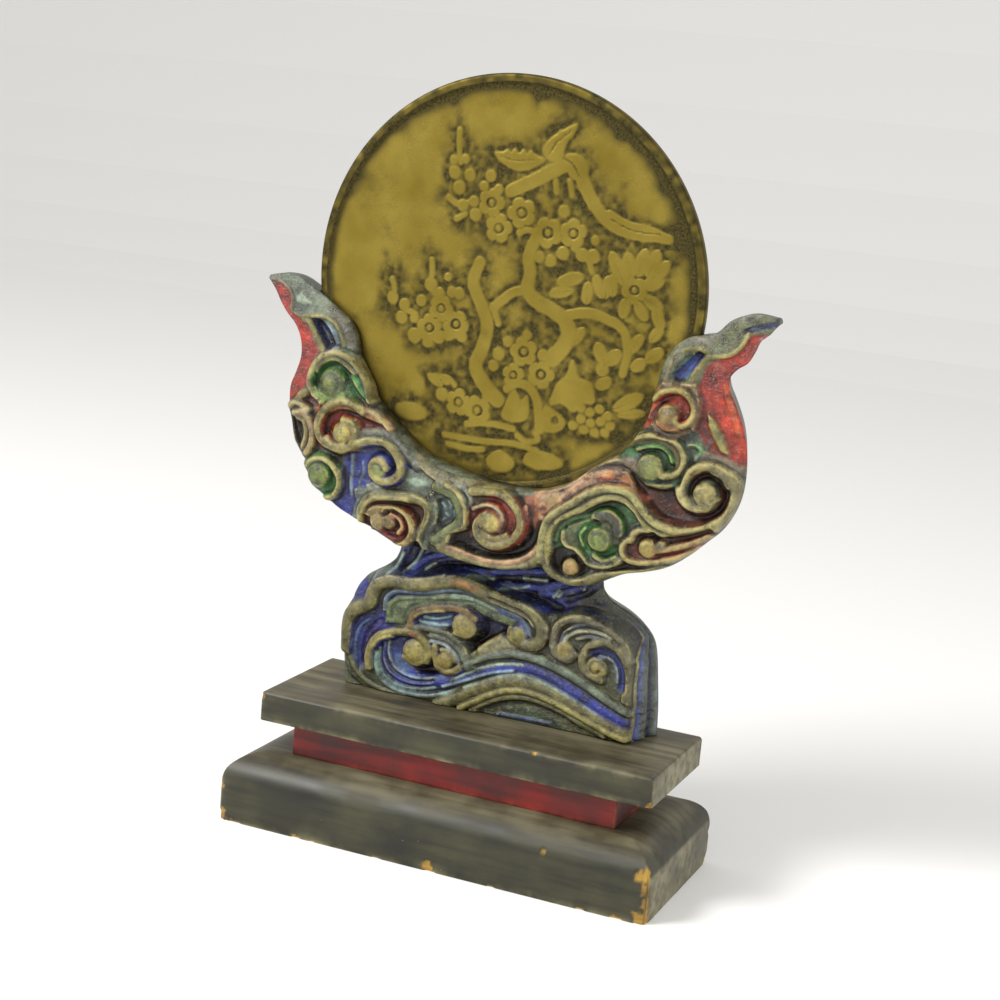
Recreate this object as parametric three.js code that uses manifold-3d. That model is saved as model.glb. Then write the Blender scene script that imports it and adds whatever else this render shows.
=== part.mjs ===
// A cast bronze mirror standing in a carved and painted wooden stand.
//
// The mirror is a disc with a raised rim and a low relief of a plum tree and a long-tailed bird.
// One block of wood is carved as a crescent of scrolled clouds on a foot of waves; a groove along
// the inside of the crescent holds the disc. The block stands on three stacked boards.
// Millimetres, +Z up, the front faces -Y, the origin is the middle of the underside.

import * as THREE from 'three';
import { mergeVertices } from 'three/addons/utils/BufferGeometryUtils.js';
import Module from 'manifold-3d';

const wasm = await Module();
wasm.setup();

// ---------- driving dimensions ----------

const BOTTOM = { w: 195, d: 81, h: 30, edge: 13, x: 0, y: 0 };
const WAIST = { w: 148, d: 50, h: 14, edge: 0.8, x: 1.5, y: 1 };
const TOP = { w: 178, d: 64, h: 13, edge: 2.5, x: 2.5, y: 2.5 };
const GAP = 0.3;

const DISC = { radius: 85, thick: 5, rim: 4.5, sunk: 1.4, relief: 1.1 };
const MIRROR_AT = new THREE.Vector3(-2.85, 3, 238.63);
const LEAN = THREE.MathUtils.degToRad(-1.5);

const FOOT_Z = BOTTOM.h + WAIST.h + TOP.h;
const FOOT_X = 2;
const NECK = { front: 8, back: 25 };

// Carved cords, as half width and rise: round a scroll, between scrolls, on a horn, on a wave.
const CORD = { scroll: [1.7, 2.4], ribbon: [2.4, 3.2], horn: [1.4, 1.8], wave: [1.7, 2] };
// A scroll's pad stands proud of the cloud; a channel is sunk in it round a domed boss.
const PAD = { proud: 2.5, buried: 9, wall: 2.6, channel: 1, boss: 1.4, dome: 2.2 };

// ---------- helpers ----------

const { lerp, degToRad, smoothstep } = THREE.MathUtils;

/** Turn a closed three.js geometry into a solid. */
function solid(geometry) {
  const bare = geometry.index ? geometry.toNonIndexed() : geometry.clone();
  bare.deleteAttribute('normal');
  bare.deleteAttribute('uv');
  const joined = mergeVertices(bare, 1e-4);
  return new wasm.Manifold(new wasm.Mesh({
    numProp: 3,
    vertProperties: new Float32Array(joined.attributes.position.array),
    triVerts: new Uint32Array(joined.index.array),
  }));
}

/** Turn a solid back into a named mesh with its own material. */
function meshOf(name, body, look) {
  const { vertProperties, triVerts } = body.getMesh();
  const geometry = new THREE.BufferGeometry();
  geometry.setAttribute('position', new THREE.BufferAttribute(vertProperties, 3));
  geometry.setIndex(new THREE.BufferAttribute(triVerts, 1));
  geometry.computeVertexNormals();
  const mesh = new THREE.Mesh(geometry, new THREE.MeshStandardMaterial(look));
  mesh.name = name;
  return mesh;
}

const join = (bodies) => bodies.reduce((a, b) => a.add(b));

/** Move every vertex of a geometry by a function of its own position. */
function shaped(geometry, move) {
  const place = geometry.attributes.position;
  const v = new THREE.Vector3();
  for (let i = 0; i < place.count; i++) {
    move(v.fromBufferAttribute(place, i));
    place.setXYZ(i, v.x, v.y, v.z);
  }
  return geometry;
}

/** A tapering ridge along a curve: a cylinder bent so that its axis follows the curve. */
function ridge(curve, steps, width, height = width, sides = 3) {
  const front = new THREE.Vector3(0, -1, 0);
  const bent = shaped(new THREE.CylinderGeometry(1, 1, 1, sides, steps), (v) => {
    const t = v.y + 0.5;
    const along = curve.getTangentAt(t);
    const across = new THREE.Vector3().crossVectors(along, front).normalize();
    const taper = 0.35 + 0.65 * Math.min(1, 6 * t, 6 * (1 - t));
    const side = across.multiplyScalar(v.x * width * taper);
    const out = front.clone().multiplyScalar(v.z * height * taper);
    v.copy(curve.getPointAt(t)).add(side).add(out);
  });
  return solid(bent);
}

/** A smooth curve through points given as [x, z], lying at the depth y (a number or y(x, z)). */
function through(points, y) {
  const depth = typeof y === 'function' ? y : () => y;
  return new THREE.CatmullRomCurve3(points.map(([x, z]) => new THREE.Vector3(x, depth(x, z), z)));
}

/** A spiral that winds inward from the angle start (degrees); turns > 0 is anticlockwise. */
function spiral({ x, z, ring, start, turns, boss }, y) {
  const count = Math.ceil(7 * Math.abs(turns));
  const points = Array.from({ length: count + 1 }, (_, i) => {
    const t = i / count;
    const r = lerp(ring, boss + 0.5, Math.pow(t, 1.5));
    const a = degToRad(start + 360 * turns * t);
    return [x + r * Math.cos(a), z + r * Math.sin(a)];
  });
  return ridge(through(points, y), count, ...CORD.scroll);
}

/** A round solid about the Y direction, from [radius, y] pairs that close on the axis. */
function turned(profile, x, z, segments) {
  const points = profile.map(([r, y]) => new THREE.Vector2(r, y)).reverse();
  const geometry = new THREE.LatheGeometry(points, segments);
  geometry.translate(x, 0, z);
  return solid(geometry);
}

/** A domed button on a face at depth y. */
const button = (x, z, r, y, rise) =>
  turned([[0, y + 1], [r, y + 1], [r * 0.75, y - rise * 0.7], [0, y - rise]], x, z, 7);

// ---------- boards ----------

/** A board whose upper edges are rounded by edge; its lower edges stay square. */
function board({ w, d, h, edge, x, y }, z) {
  const [a, b] = [w / 2 - edge, d / 2 - edge];
  const outline = new THREE.Shape([[a, b], [-a, b], [-a, -b], [a, -b]]
    .map(([px, py]) => new THREE.Vector2(px, py)));
  const block = new THREE.ExtrudeGeometry(outline, {
    depth: h, bevelThickness: edge, bevelSize: edge, bevelSegments: 6,
  });
  block.translate(x, y, z - edge);
  const below = new THREE.BoxGeometry(w * 2, d * 2, h * 2);
  below.translate(x, y, z - h);
  return solid(block).subtract(solid(below));
}

/** The places on the bottom board's corners where the lacquer and wood have chipped off. */
const CHIPS = [
  [97.5, -40.5, 4, 6, 0.3],
  [97.5, -40.5, 22, 4, 1.1],
  [97.5, 38, 1, 4, 0.8],
  [-97.5, -40.5, 2, 4.5, 0.5],
  [-60, -40.5, 0, 3, 1.9],
];

function bottomBoard() {
  const chips = CHIPS.map(([x, y, z, size, turn]) => {
    const bite = new THREE.OctahedronGeometry(size);
    bite.scale(0.6, 0.6, 1.3);
    bite.rotateZ(turn);
    bite.translate(x, y, z);
    return solid(bite);
  });
  return chips.reduce((body, chip) => body.subtract(chip), board(BOTTOM, 0));
}

// ---------- the cloud crescent, about the middle of the mirror ----------

// Stations from the left horn's tip round to the right one's: outer x, z and inner x, z.
const STATIONS = [
  [-109, -7, -108.6, -4], [-103, -17, -96, -6], [-94, -29, -83, -13], [-92, -40, -73, -19],
  [-97, -58, -62, -38], [-93, -76, -52, -54], [-78, -96, -38, -66], [-56, -108, -22, -75],
  [-28, -116, -4, -80], [0, -117, 12, -81], [28, -117, 28, -79], [56, -111, 44, -72],
  [80, -104, 56, -61], [97, -91, 65, -49], [107, -72, 69, -37], [106.5, -50, 70, -26],
  [98.5, -30, 75.5, -15], [104.5, -20, 88, -10], [109.5, -11, 100, -3], [114.35, -5.5, 113.9, -1.5],
];
const outer = through(STATIONS.map((s) => [s[0], s[1]]), 0);
const inner = through(STATIONS.map((s) => [s[2], s[3]]), 0);

/** How full the crescent is at a point: 0 at the horns' tips, 1 under the mirror. */
const fullness = (x, z) => Math.sqrt(Math.max(0, -z) / Math.hypot(x, z));
const cloudFront = (x, z) => lerp(2.5, -9.5, fullness(x, z));
const cloudBack = (x, z) => lerp(8, 20, fullness(x, z));

/** The bare crescent: a box lofted along the stations, crowned in front and behind. */
function crescent() {
  const across = new THREE.Vector3();
  const body = shaped(new THREE.BoxGeometry(1, 1, 1, 44, 2, 3), (v) => {
    const [u, d, w] = [v.x + 0.5, v.y, v.z + 0.5];
    across.subVectors(inner.getPoint(u), outer.getPoint(u));
    const { x, z } = outer.getPoint(u).addScaledVector(across, w);
    const crown = Math.sqrt(Math.sin(Math.PI * lerp(0.1, 0.9, w)));
    const middle = lerp(cloudFront(x, z), cloudBack(x, z), 0.5);
    const face = d < 0 ? cloudFront(x, z) : cloudBack(x, z);
    const swell = d === 0 ? lerp(1, -1, w) * 1.5 * fullness(x, z) : 0;
    v.set(x, d === 0 ? middle : lerp(middle, face, crown), z);
    v.addScaledVector(across.normalize(), -swell);
  });
  return solid(body);
}

// Each scroll of cloud: its middle, the pad it is cut from, and the ridge that winds into it.
const SCROLLS = [
  { x: -72, z: -47.5, pad: 11.5, start: -10, turns: 1.2, boss: 4.8 },
  { x: -65, z: -66, pad: 11, start: 0, turns: 1.3, boss: 4.2 },
  { x: -86, z: -69, pad: 8.5, start: 30, turns: 1.1, boss: 3 },
  { x: -74, z: -87, pad: 9.5, start: -40, turns: 1.1, boss: 3.6 },
  { x: -46.5, z: -80, pad: 12, start: 110, turns: -1.35, boss: 3.8 },
  { x: -40, z: -102, pad: 13, start: 170, turns: -1.25, boss: 4 },
  { x: 6, z: -96, pad: 14.5, start: 85, turns: -1.4, boss: 4.6 },
  { x: 42, z: -109, pad: 9.5, start: 100, turns: 1, boss: 3.2 },
  { x: 53, z: -96, pad: 15.5, start: 40, turns: 1.25, boss: 5.5 },
  { x: 75, z: -97, pad: 11, start: 0, turns: 1.15, boss: 4 },
  { x: 91, z: -72, pad: 13, start: -80, turns: 1.4, boss: 4.6 },
  { x: 71, z: -62, pad: 11.5, start: 190, turns: -1.25, boss: 4.6 },
  { x: 78, z: -42, pad: 10.5, start: 180, turns: -1.4, boss: 3.8 },
];

// The long double ridges of cloud that run between the scrolls.
const RIBBONS = [
  [[29, -100], [29, -91], [41, -81], [56, -76], [69, -80], [80, -88], [92, -88], [101, -80]],
  [[-21, -108], [6, -114], [24, -110], [28, -99]],
  [[-27, -74], [-12, -83], [-4, -92], [-8, -101], [-20, -108]],
  [[-53, -103], [-51, -93], [-41, -91], [-31, -88], [-22, -95], [-27, -106]],
  [[67, -102], [80, -102], [92, -95], [99, -86]],
];

function clouds() {
  const parts = [crescent()];
  for (const scroll of SCROLLS) {
    const { x, z, pad, boss } = scroll;
    const face = cloudFront(x, z) - PAD.proud;
    const back = cloudBack(x, z) - PAD.buried;
    const profile = [[0, back], [pad - 1, back], [pad, face + PAD.wall],
      [pad - 1, face + PAD.channel], [boss, face + PAD.channel],
      [boss * 0.8, face - PAD.boss], [0, face - PAD.dome]];
    parts.push(turned(profile, x, z, Math.round(5 + pad * 0.4)));
    parts.push(spiral({ ...scroll, ring: pad - CORD.scroll[0] }, face + PAD.channel));
  }
  for (const ribbon of RIBBONS) {
    const curve = through(ribbon, (x, z) => cloudFront(x, z) - PAD.proud);
    parts.push(ridge(curve, ribbon.length + 5, ...CORD.ribbon));
  }
  return join(parts);
}

/** The raised line that runs down each horn from its tip. */
function hornLines() {
  const left = [[-106, -6], [-97, -12], [-88, -20], [-85, -32], [-84, -38]];
  const right = [[111, -5], [101, -8], [95, -16], [87, -22], [84, -31]];
  return [left, right].map((line) =>
    ridge(through(line, (x, z) => cloudFront(x, z) + 0.6), 7, ...CORD.horn));
}

// ---------- the wave foot, about the middle of its underside ----------

// Rows from the foot up into the clouds: height, left edge, right edge.
const ROWS = [
  [-4, -66.5, 72], [10, -68, 71.5], [22, -69, 71.5], [32, -68, 70.5], [40, -66, 68.5],
  [48, -61, 61.5], [54, -53, 53], [59, -47, 48], [66, -45, 47], [74, -46, 49], [80, -44, 51],
];
const leftEdge = through(ROWS.map((r) => [r[1], r[0]]), 0);
const rightEdge = through(ROWS.map((r) => [r[2], r[0]]), 0);

/**
 * The neck and the foot's back: a box lofted through the rows, fluted down its two ends. Its
 * back steps out at the shoulder below and tucks in under the clouds above.
 */
function waveBlock() {
  return solid(shaped(new THREE.BoxGeometry(1, 1, 1, 4, 4, 12), (v) => {
    const t = v.z + 0.5;
    const side = v.x + 0.5;
    const edge = Math.abs(v.x) * 2;
    const a = leftEdge.getPoint(t);
    const b = rightEdge.getPoint(t);
    const shoulder = 1 - smoothstep(a.z, 30, 60);
    const round = Math.abs(v.y) === 0.5 ? 3 * smoothstep(edge, 0.7, 1) : 0;
    const flute = 1.2 * Math.cos(4 * Math.PI * v.y) * smoothstep(edge, 0.9, 1) * Math.sign(v.x);
    const tuck = smoothstep(a.z, 50, 78);
    const back = NECK.back + 4 * shoulder - 11 * tuck;
    const y = lerp(NECK.front, back, v.y + 0.5) - Math.sign(v.y) * round;
    v.set(lerp(a.x, b.x, side) - flute, y, lerp(a.z, b.z, side));
  }));
}

// The breaking wave that stands in front of the neck: its crest from the left foot to the right.
const CREST = [
  [-64, -4], [-67, 10], [-68, 22], [-65, 35], [-55, 44], [-45, 52], [-33, 52], [-23, 55],
  [-11, 57], [2, 52], [14, 48], [25, 41], [31, 44], [43, 48], [55, 45], [64, 36], [66, 20], [67, -4],
];

function waveFace() {
  const outline = new THREE.Shape();
  outline.moveTo(...CREST[0]);
  outline.splineThru(CREST.slice(1).map(([x, z]) => new THREE.Vector2(x, z)));
  outline.closePath();
  const plate = new THREE.ExtrudeGeometry(outline, {
    depth: 7, curveSegments: 2, bevelThickness: 2, bevelSize: 1.6, bevelOffset: -1.6,
    bevelSegments: 1,
  });
  plate.rotateX(Math.PI / 2);
  plate.translate(0, 11, 0);
  return solid(plate);
}

const WAVE_FRONT = 2;
const WHORLS = [
  { x: -9, z: 38, ring: 6, start: 130, turns: -0.9, boss: 4.2 },
  { x: -31, z: 22, ring: 15, start: 200, turns: -0.9, boss: 6.5 },
  { x: -16, z: 19, ring: 9, start: 130, turns: -0.8, boss: 4.5 },
  { x: 17, z: 37, ring: 8, start: 100, turns: -0.9, boss: 5 },
  { x: 36, z: 35, ring: 8.5, start: 150, turns: 0.9, boss: 3.8 },
  { x: 54, z: 29, ring: 11, start: 80, turns: 1, boss: 5 },
];
const SWELLS = [
  [[-50, 41], [-56, 30], [-52, 14], [-40, 6], [-24, 7], [-6, 16], [12, 24], [27, 23], [40, 17],
    [54, 10], [64, 7]],
  [[-62, 26], [-58, 10], [-44, 1], [-26, 1], [-4, 10], [14, 18], [28, 17], [46, 9], [62, 3]],
  [[-6, 4], [9, 10], [20, 12], [33, 10], [48, 6], [62, 1]],
  [[-64, 33], [-54, 41], [-44, 48], [-33, 48], [-22, 51], [-10, 53], [2, 48], [13, 44], [22, 38]],
];

function waves() {
  const parts = [waveBlock(), waveFace()];
  for (const whorl of WHORLS) {
    parts.push(spiral(whorl, WAVE_FRONT));
    parts.push(button(whorl.x, whorl.z, whorl.boss, WAVE_FRONT, 2.2));
  }
  for (const swell of SWELLS) {
    parts.push(ridge(through(swell, WAVE_FRONT), swell.length + 1, ...CORD.wave));
  }
  return join(parts);
}

/** The whole carving: waves and clouds in one, leaning together, with the mirror's groove cut. */
function carving() {
  const lean = new THREE.Matrix4().makeRotationY(LEAN);
  const cloudPlace = lean.clone().setPosition(MIRROR_AT.x, 0, MIRROR_AT.z);
  const wavePlace = lean.clone().setPosition(FOOT_X, 0, FOOT_Z);
  const reach = DISC.radius + GAP;
  const half = DISC.thick / 2 + GAP;
  const groove = turned([[0, half], [reach, half], [reach, -half], [0, -half]], 0, 0, 64);
  const held = join([clouds(), ...hornLines()]).subtract(groove.translate([0, MIRROR_AT.y, 0]));
  const below = new THREE.BoxGeometry(400, 200, 100);
  below.translate(0, 0, FOOT_Z + GAP - 50);
  return held.transform(cloudPlace.elements)
    .add(waves().transform(wavePlace.elements))
    .subtract(solid(below));
}

// ---------- the mirror, about its own middle ----------

const FIELD = -DISC.thick / 2 + DISC.sunk;

function disc() {
  const { radius: r, thick, rim } = DISC;
  const [front, back] = [-thick / 2, thick / 2];
  return turned([
    [0, back], [r, back], [r, front], [r - rim, front], [r - rim - 0.8, FIELD], [0, FIELD],
  ], 0, 0, 64);
}

/** A flat raised shape on the mirror's field. */
function raised(outline, curveSegments = 1, height = DISC.relief) {
  const plate = new THREE.ExtrudeGeometry(outline, {
    depth: height + 0.8, bevelEnabled: false, curveSegments,
  });
  plate.rotateX(Math.PI / 2);
  plate.translate(0, FIELD + 0.8, 0);
  return solid(plate);
}

const bud = (x, z) => turned([[0, FIELD + 1], [2.2, FIELD + 1], [0, FIELD - 1.2]], x, z, 5);

/** Five round petals about x, z. */
function blossom(x, z, r, turn = 0) {
  const outline = new THREE.Shape();
  for (let i = 0; i < 5; i++) {
    const a = turn + (i * 2 * Math.PI) / 5;
    const [cx, cz] = [x + 0.55 * r * Math.cos(a), z + 0.55 * r * Math.sin(a)];
    outline.absarc(cx, cz, 0.47 * r, a - 1.25, a + 1.25, false);
  }
  outline.closePath();
  return raised(outline);
}

/** A pointed leaf or wing from one point to another, as wide as given. */
function leaf(x0, z0, x1, z1, width) {
  const [mx, mz] = [(x0 + x1) / 2, (z0 + z1) / 2];
  const length = Math.hypot(x1 - x0, z1 - z0);
  const [nx, nz] = [(z0 - z1) / length * width, (x1 - x0) / length * width];
  const outline = new THREE.Shape();
  outline.moveTo(x0, z0);
  outline.quadraticCurveTo(mx - nx, mz - nz, x1, z1);
  outline.quadraticCurveTo(mx + nx, mz + nz, x0, z0);
  return raised(outline, 2);
}

// Stems of the plum tree, [x, z] from root to tip, with their half width.
const STEMS = [
  { width: 3.2, points: [[8, -56], [3, -38], [14, -28], [24, -22], [27, -16], [23, -9], [14, -5],
    [10, 2], [10, 14], [9, 22], [6, 27]] },
  { width: 2.2, points: [[10, 0], [2, -1], [-5, -8], [-9, -11]] },
  { width: 2.6, points: [[-3, -50], [-8, -41], [-11, -34], [-10, -24], [-7, -15], [-11, -8],
    [-15, -2], [-13, 5], [-11, 8]] },
  { width: 2.2, points: [[28, -7], [39, -6], [48, -9], [53, -17], [56, -26], [50, -36]] },
  { width: 1.6, points: [[24, -22], [29, -20], [33, -16]] },
];

// The bird: body and long tail as stems, wings as leaves.
const BIRD = { width: 2.8, points: [[2, 40], [10, 45], [18, 50], [24, 52], [29, 45], [36, 36],
  [43, 28], [52, 26], [64, 24]] };
const WINGS = [[-9, 54, 12, 51, 5], [13, 53, 26, 64, 4.5], [2, 39, 14, 50, 3.5]];

const BLOSSOMS = [
  [-9, 32, 6.5], [4, 29, 6.5], [-6, 22, 6], [17, 22, 6.5], [27, 20, 5], [-28, -11, 5.5],
  [-33, -20, 6], [-22, -18, 6], [9, -28, 6.5], [17, -34, 6], [-17, -48, 6], [-10, -53, 6],
  [54, 2, 6],
];
const BUDS = [[-24, 50], [-22, 44], [-27, 40], [-20, 38], [-9, 43], [-13, 39], [-25, 34],
  [28, 30], [33, 26], [-32, 2], [-25, 3], [-40, -13]];
const LEAVES = [
  [58, 10, 56, 20, 2.5], [60, 8, 67, 16, 2.5], [60, 4, 69, 8, 2.5], [56, 4, 48, 10, 2.5],
  [58, 0, 66, -4, 2.5], [36, -2, 33, 8, 2.2], [44, -2, 46, 8, 2.2], [30, 0, 26, 8, 2.2],
  [46, -28, 42, -20, 3], [46, -34, 54, -24, 3], [44, -40, 38, -36, 3], [50, -46, 64, -44, 3],
];
// Rocks and banks along the foot of the picture: x, z, half width, half height.
const ROCKS = [[7, -45, 7, 11], [28, -36, 9, 13], [14, -58, 12, 7], [-41, -56, 7, 4],
  [34, -52, 9, 7], [52, -54, 7, 5]];
const BANKS = [[[-40, -63], [-14, -64], [4, -62]], [[-34, -70], [-12, -72], [8, -70]]];

function picture() {
  const stem = ({ width, points }) =>
    ridge(through(points, FIELD), points.length + 1, width, DISC.relief);
  const rocks = ROCKS.map(([x, z, w, h]) => {
    const outline = new THREE.Shape();
    outline.absellipse(x, z, w, h, 0, 2 * Math.PI);
    return raised(outline, 4, 0.8);
  });
  return [
    ...STEMS.map(stem),
    stem(BIRD),
    ...WINGS.map((wing) => leaf(...wing)),
    ...BLOSSOMS.map(([x, z, r], i) => blossom(x, z, r, i)),
    ...BUDS.map(([x, z]) => bud(x, z)),
    ...LEAVES.map((one) => leaf(...one)),
    ...rocks,
    ...BANKS.map((points) => stem({ width: 1.4, points })),
  ];
}

// ---------- the object ----------

const BRONZE = { color: 0x8f8234, roughness: 0.45, metalness: 0.9 };
const PAINTED = { color: 0x7d7a3e, roughness: 0.45, metalness: 0 };
const LACQUER = { color: 0x4b4a3b, roughness: 0.5, metalness: 0 };
const RED = { color: 0x7a2a22, roughness: 0.5, metalness: 0 };

const held = new THREE.Group();
held.position.copy(MIRROR_AT);
held.rotation.y = LEAN;
held.add(meshOf('mirror', join([disc(), ...picture()]), BRONZE));

const object = new THREE.Group();
object.add(held);
object.add(meshOf('cloud_and_wave_carving', carving(), PAINTED));
object.add(meshOf('top_board', board(TOP, BOTTOM.h + WAIST.h), LACQUER));
object.add(meshOf('waist', board({ ...WAIST, h: WAIST.h - GAP }, BOTTOM.h), RED));
object.add(meshOf('bottom_board', bottomBoard(), LACQUER));

export default object;
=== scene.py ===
# %% [markdown]
# # A bronze mirror on a carved and painted stand
#
# The real object is three crafts in one: a bronze disc cast with a shallow picture of a plum tree
# and a long-tailed bird, a block of wood carved into clouds above and waves below and painted,
# and a stepped foot of three plain lacquered boards. This lesson dresses the CAD frame of that
# object. The frame gives every size; each cell below makes one surface or one finish.

# %% Load the frame
import math

import bpy
import numpy as np
from mathutils import Matrix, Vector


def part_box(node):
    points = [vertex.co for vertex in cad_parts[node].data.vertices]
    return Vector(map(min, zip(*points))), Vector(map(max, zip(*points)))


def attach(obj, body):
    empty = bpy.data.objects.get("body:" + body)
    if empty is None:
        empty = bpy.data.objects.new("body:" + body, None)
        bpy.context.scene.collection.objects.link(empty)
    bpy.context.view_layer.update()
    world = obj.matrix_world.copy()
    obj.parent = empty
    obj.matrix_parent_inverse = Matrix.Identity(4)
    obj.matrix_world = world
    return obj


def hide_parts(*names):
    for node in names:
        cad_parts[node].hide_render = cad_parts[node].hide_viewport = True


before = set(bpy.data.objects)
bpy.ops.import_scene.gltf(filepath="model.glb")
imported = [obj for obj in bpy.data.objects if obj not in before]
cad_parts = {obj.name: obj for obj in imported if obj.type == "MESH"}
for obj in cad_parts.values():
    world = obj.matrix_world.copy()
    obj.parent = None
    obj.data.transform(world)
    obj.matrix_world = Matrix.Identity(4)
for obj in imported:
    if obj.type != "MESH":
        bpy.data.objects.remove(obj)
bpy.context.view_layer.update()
MM = 0.001
print("frame nodes:", sorted(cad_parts))

# %% [markdown]
# ## The camera and the light
#
# A camera is a place and three directions. It looks a little down on the object from its right,
# and is rolled by five degrees, because the object leans in the frame. A long lens keeps the
# boards' edges nearly parallel. The light is that of a white tent: a pale world all round,
# one broad lamp high on the left for the shine on the paint, and a weaker one on the right.

# %% Camera
CAMERA = {"azimuth": 22.19, "elevation": 11.98, "roll": 5.10, "lens": 72.44}
CAMERA_AT = (0.31132, -0.75488, 0.32355)


def camera_turn(azimuth, elevation, roll):
    """Columns right, up and back: back points from the object to the lens, then roll turns the
    other two about it."""
    a, e, r = np.radians([azimuth, elevation, roll])
    back = np.array([np.sin(a) * np.cos(e), -np.cos(a) * np.cos(e), np.sin(e)])
    right = np.cross([0, 0, 1], back)
    right /= np.linalg.norm(right)
    up = np.cross(back, right)
    c, s = np.cos(r), np.sin(r)
    return np.stack([c * right + s * up, c * up - s * right, back], 1)


lens = bpy.data.cameras.new("camera")
lens.lens, lens.sensor_width = CAMERA["lens"], 36
camera = bpy.data.objects.new("camera", lens)
bpy.context.collection.objects.link(camera)
turn = Matrix(camera_turn(CAMERA["azimuth"], CAMERA["elevation"], CAMERA["roll"]).tolist())
camera.matrix_world = Matrix.Translation(CAMERA_AT) @ turn.to_4x4()
bpy.context.scene.camera = camera
bpy.context.scene.view_settings.view_transform = "Standard"
print("camera at", [round(v, 3) for v in camera.location])


# %% Colours and nodes
def tone(code, alpha=None):
    """A hex sRGB colour as linear red, green and blue: each channel c becomes c / 12.92 when it
    is dark and ((c + 0.055) / 1.055) to the power 2.4 when it isn't."""
    c = np.array([int(code[i:i + 2], 16) for i in (1, 3, 5)]) / 255
    linear = np.where(c <= 0.04045, c / 12.92, ((c + 0.055) / 1.055) ** 2.4)
    return linear if alpha is None else (*linear.tolist(), alpha)


def connect(tree, made, inputs):
    """Fill inputs of a node: a plain value is set and an output of another node is linked. A
    node given whole stands for its first output."""
    for socket, value in inputs.items():
        if isinstance(value, bpy.types.Node):
            value = value.outputs[0]
        if isinstance(value, bpy.types.NodeSocket):
            tree.links.new(value, made.inputs[socket])
        else:
            made.inputs[socket].default_value = value


def node(tree, kind, inputs=None, stops=(), **settings):
    """Add one node with its settings and links. A colour ramp, which starts with two stops, also
    gets its stops, each a place from 0 to 1 and a hex colour."""
    made = tree.nodes.new(kind)
    for name, value in settings.items():
        setattr(made, name, value)
    connect(tree, made, inputs or {})
    for i, (place, code) in enumerate(stops):
        elements = made.color_ramp.elements
        stop = elements[i] if i < 2 else elements.new(place)
        stop.position, stop.color = place, tone(code, 1)
    return made


def new_material(name):
    """An empty node material with its shader linked to the output."""
    made = bpy.data.materials.new(name)
    made.use_nodes = True
    tree = made.node_tree
    tree.nodes.clear()
    shader = node(tree, "ShaderNodeBsdfPrincipled")
    node(tree, "ShaderNodeOutputMaterial", {"Surface": shader})
    return made, tree, shader


print("colour and node helpers ready; mid grey is", tone("#808080").round(3).tolist())


# %% Lamps, world and floor
MIDDLE = (0, 0, 0.17)


def lamp(name, place, size, power):
    """A square area lamp that points at the middle of the object."""
    light = bpy.data.lights.new(name, "AREA")
    light.size, light.energy = size, power
    made = bpy.data.objects.new(name, light)
    bpy.context.collection.objects.link(made)
    toward = np.array(place) - np.array(MIDDLE)
    azimuth = math.degrees(math.atan2(toward[0], -toward[1]))
    elevation = math.degrees(math.atan2(toward[2], math.hypot(toward[0], toward[1])))
    facing = Matrix(camera_turn(azimuth, elevation, 0).tolist()).to_4x4()
    made.matrix_world = Matrix.Translation(place) @ facing


lamp("high_left", (-0.75, -0.8, 1.05), 0.5, 20)
lamp("low_right", (1.1, -0.6, 0.5), 0.9, 7)
world = bpy.data.worlds.new("tent")
world.use_nodes = True
world.node_tree.nodes["Background"].inputs["Color"].default_value = tone("#ffffff", 1)
world.node_tree.nodes["Background"].inputs["Strength"].default_value = 0.72
bpy.context.scene.world = world

paper, tree, shader = new_material("white_paper")
connect(tree, shader, {"Base Color": tone("#f4f3f0", 1), "Roughness": 0.9})
# a level sheet that bends up behind the object in a quarter circle, in metres
bend = np.radians(np.linspace(0, 80, 13))
sweep = np.vstack([[(-4, 0)], np.stack([1.6 + 1.8 * np.sin(bend), 1.8 - 1.8 * np.cos(bend)], 1),
                   [(4.1, 5.5)]])
sheet = np.array([(side * 7, y, z) for y, z in sweep for side in (-1, 1)])
floor_mesh = bpy.data.meshes.new("floor")
floor_mesh.from_pydata(sheet.tolist(), [], [(2 * i, 2 * i + 1, 2 * i + 3, 2 * i + 2)
                                            for i in range(len(sweep) - 1)])
floor_mesh.materials.append(paper)
floor = bpy.data.objects.new("floor", floor_mesh)
bpy.context.collection.objects.link(floor)


# %% [markdown]
# ## Carving with numbers
#
# A carver draws on the wood, sinks the ground, leaves cords standing, and hollows the spaces
# between. The same words work for a grid of points: every point has a level above the bare form,
# and each stroke of the chisel changes the level, and the paint, near a line. This is quicker
# than sculpting by hand and, unlike a displacement texture, it leaves real geometry behind.

# %% Curves
def ease(low, high, x):
    """0 below low, 1 above high, and 3t^2 - 2t^3 between them."""
    t = np.clip((x - low) / (high - low), 0, 1)
    return t * t * (3 - 2 * t)


def flow(points, closed=False, per=8):
    """A smooth line through points: between two of them it is the Catmull-Rom cubic, whose slope
    at each point is half the step from the point before to the point after."""
    p = np.array(points, float)
    ends = (p[-1:], p[:2]) if closed else (2 * p[:1] - p[1:2], 2 * p[-1:] - p[-2:-1])
    p = np.vstack([ends[0], p, ends[1]])
    t = (np.arange(per) / per)[None, :, None]
    a, b, c, d = (p[i:len(p) - 3 + i, None] for i in range(4))
    line = b + (c - a) * t / 2 + (2 * a - 5 * b + 4 * c - d) * t ** 2 / 2
    line = (line + (3 * b - a - 3 * c + d) * t ** 3 / 2).reshape(-1, p.shape[1])
    return np.vstack([line, line[:1] if closed else p[-2]])


def drawn(line):
    """A list of points as the smooth line through them; an array is a line already."""
    return line if isinstance(line, np.ndarray) else flow(line)


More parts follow.
